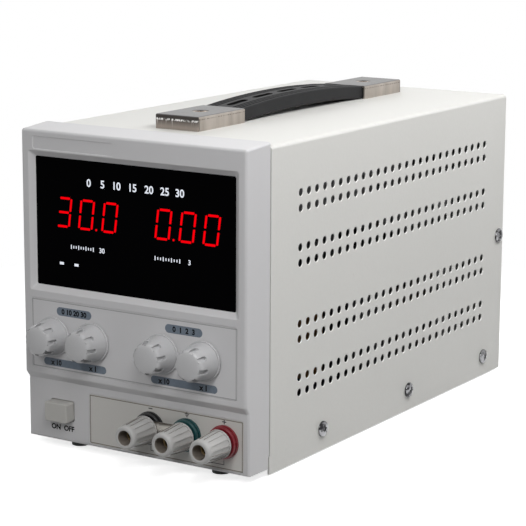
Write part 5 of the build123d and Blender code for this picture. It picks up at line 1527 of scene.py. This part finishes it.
# ------------------------------------------------------------------ rear, feet and inside
class SUPPLY_OT_rear(bpy.types.Operator):
    """Builds the fan's wire guard and the rear screws, and finishes the rear"""

    bl_idname = "supply.rear"
    bl_label = "Rear"

    def execute(self, context):
        finish_node("rear_panel", powder_coat("panel_paint", lit(context.scene.supply_case.cover_colour, 0.96)))
        black = moulded("black_moulding", (0.022, 0.022, 0.024), 0.42, 700.0, 0.02, 0.12, 0.35)
        for node in ("fan_housing", "fan_rotor", "mains_inlet", "fuse_holder", "fuse_cap", "power_switch"):
            finish_node(node, black)
        self.add_guard()
        self.add_screws()
        return {"FINISHED"}

    def add_guard(self):
        wire = bright_metal("guard_wire", (0.60, 0.60, 0.61), 0.24, dark=0.5)
        middle = (guard_low + guard_high) / 2
        thick = (guard_high.y - guard_low.y) / 2
        half = (guard_high.x - guard_low.x) / 2 - EAR_R
        parts = []
        for radius in GUARD_RINGS:
            choose()
            bpy.ops.mesh.primitive_torus_add(
                major_radius=radius * MM, minor_radius=thick * MM * 0.98, major_segments=64, minor_segments=8
            )
            parts.append(begun("guard_ring"))
        for turn in (pi / 4, 3 * pi / 4):
            reach = half * 2**0.5 - EAR_R * 0.7
            spoke = turned("guard_spoke", [(-reach, thick * 0.9), (reach, thick * 0.9)], 10)
            spoke.data.transform(Matrix.Rotation(turn, 4, "Z") @ Matrix.Rotation(pi / 2, 4, "Y"))
            parts.append(spoke)
        for x in (-half, half):
            for y in (-half, half):
                profile = [(-thick * 0.9, EAR_R), (thick * 0.9, EAR_R), (thick * 0.9, 1.9), (-thick * 0.9, 1.9)]
                ear = turned("guard_ear", profile, 24, (x, y, 0), ring=True)
                parts.append(ear)
        guard = placed(joined("wire_guard", parts), middle, REAR)
        fitted(smooth(guard), wire, "case", "steel", "fan_guard")

    def add_screws(self):
        chrome = bright_metal("panel_screw_plate", (0.55, 0.55, 0.57), 0.2, dark=0.35)
        guard_middle = (guard_low + guard_high) / 2
        half = (guard_high.x - guard_low.x) / 2 - EAR_R
        inlet_low, inlet_high = corners("mains_inlet")
        inlet_x, inlet_z = (inlet_low.x + inlet_high.x) / 2, (inlet_low.z + inlet_high.z) / 2
        seats = [
            Vector((guard_middle.x + dx * half, guard_high.y, guard_middle.z + dz * half))
            for dx in (-1, 1)
            for dz in (-1, 1)
        ]
        seats += [Vector((inlet_x + side * INLET_HOLE_HALF, inlet_high.y, inlet_z)) for side in (-1, 1)]
        frame_seat_y = corners("panel_screws")[0].y + PANEL_SCREW_L
        seats += [Vector((side * FRAME_SCREW_X, frame_seat_y, z)) for side in (-1, 1) for z in FRAME_SCREW_Z]
        first = None
        for number, seat in enumerate(seats, 1):
            if first is None:
                first, start = cross_head("panel_screw_1", 3.0, 1.8, 3.0, seat, REAR), seat
                screw = first
            else:
                screw = copied(first, f"panel_screw_{number}", seat - start, number * radians(27), start, "Y")
            fitted(screw, chrome, "case", "steel", "panel_screws")


GUARD_RINGS = (11.0, 19.0, 27.0, 35.0)
EAR_R = 3.4
INLET_HOLE_HALF = 20.0
PANEL_SCREW_L = 8.0
FRAME_SCREW_X = 60.0
FRAME_SCREW_Z = (10.5, 155.5)


class SUPPLY_OT_inside(bpy.types.Operator):
    """Finishes the feet and the pieces inside the case"""

    bl_idname = "supply.inside"
    bl_label = "Feet and inside"

    def execute(self, context):
        zinc = bright_metal("zinc_sheet", (0.52, 0.53, 0.54), 0.34, dark=0.7, scale=120.0)
        brass = bright_metal("shaft_brass", (0.58, 0.50, 0.34), 0.28, dark=0.6)
        finishes = {
            "rubber_feet": moulded("foot_rubber", (0.055, 0.06, 0.058), 0.62, 500.0, 0.05, 0.2, 0.25),
            "chassis_base": powder_coat("base_paint", lit(context.scene.supply_case.cover_colour, 0.92)),
            "front_frame": zinc,
            "post_nuts": zinc,
            "pot_nuts": zinc,
            "potentiometers": zinc,
            "voltage_display": moulded("display_case", (0.03, 0.03, 0.032), 0.5),
            "current_display": moulded("display_case_right", (0.03, 0.03, 0.032), 0.5),
            "display_board": bare_board("display_laminate"),
            "main_board": bare_board("main_laminate"),
            "fuse": clear_glass("fuse_glass"),
            "heat_sink": bright_metal("sink_aluminium", (0.62, 0.63, 0.65), 0.38, dark=0.75, scale=160.0),
            "power_transistors": moulded("transistor_case", (0.02, 0.02, 0.022), 0.5),
            "transformer_core": stacked_steel("core_steel"),
            "transformer_winding": wound_copper("winding_tape"),
            "filter_capacitors": moulded("capacitor_sleeve", (0.03, 0.05, 0.13), 0.35),
        }
        for name in KNOBS:
            finishes[f"{name}_shaft"] = brass
        for node, material in finishes.items():
            finish_node(node, material)
        return {"FINISHED"}


# ------------------------------------------------------------------ sidebar and registration
OPERATORS = (
    SUPPLY_OT_stage,
    SUPPLY_OT_cover,
    SUPPLY_OT_cover_screws,
    SUPPLY_OT_bezel,
    SUPPLY_OT_display,
    SUPPLY_OT_control_panel,
    SUPPLY_OT_knobs,
    SUPPLY_OT_power_button,
    SUPPLY_OT_terminals,
    SUPPLY_OT_handle,
    SUPPLY_OT_rear,
    SUPPLY_OT_inside,
)


class SUPPLY_PT_panel(bpy.types.Panel):
    """Lists the pieces of the power supply in the sidebar"""

    bl_idname = "SUPPLY_PT_panel"
    bl_label = "Power Supply"
    bl_space_type = "VIEW_3D"
    bl_region_type = "UI"
    bl_category = "Power Supply"

    def draw(self, context):
        layout = self.layout
        for group in (context.scene.supply_case, context.scene.supply_panel):
            box = layout.box()
            for key in group.__annotations__:
                box.prop(group, key)
        for operator in OPERATORS:
            layout.operator(operator.bl_idname)


CLASSES = (CaseSettings, PanelSettings, *OPERATORS, SUPPLY_PT_panel)


def register():
    for cls in CLASSES:
        bpy.utils.register_class(cls)
    bpy.types.Scene.supply_case = bpy.props.PointerProperty(type=CaseSettings)
    bpy.types.Scene.supply_panel = bpy.props.PointerProperty(type=PanelSettings)


def unregister():
    del bpy.types.Scene.supply_panel
    del bpy.types.Scene.supply_case
    for cls in reversed(CLASSES):
        bpy.utils.unregister_class(cls)


def main():
    register()
    for operator in OPERATORS:
        group, name = operator.bl_idname.split(".")
        getattr(getattr(bpy.ops, group), name)()


if __name__ == "__main__":
    main()
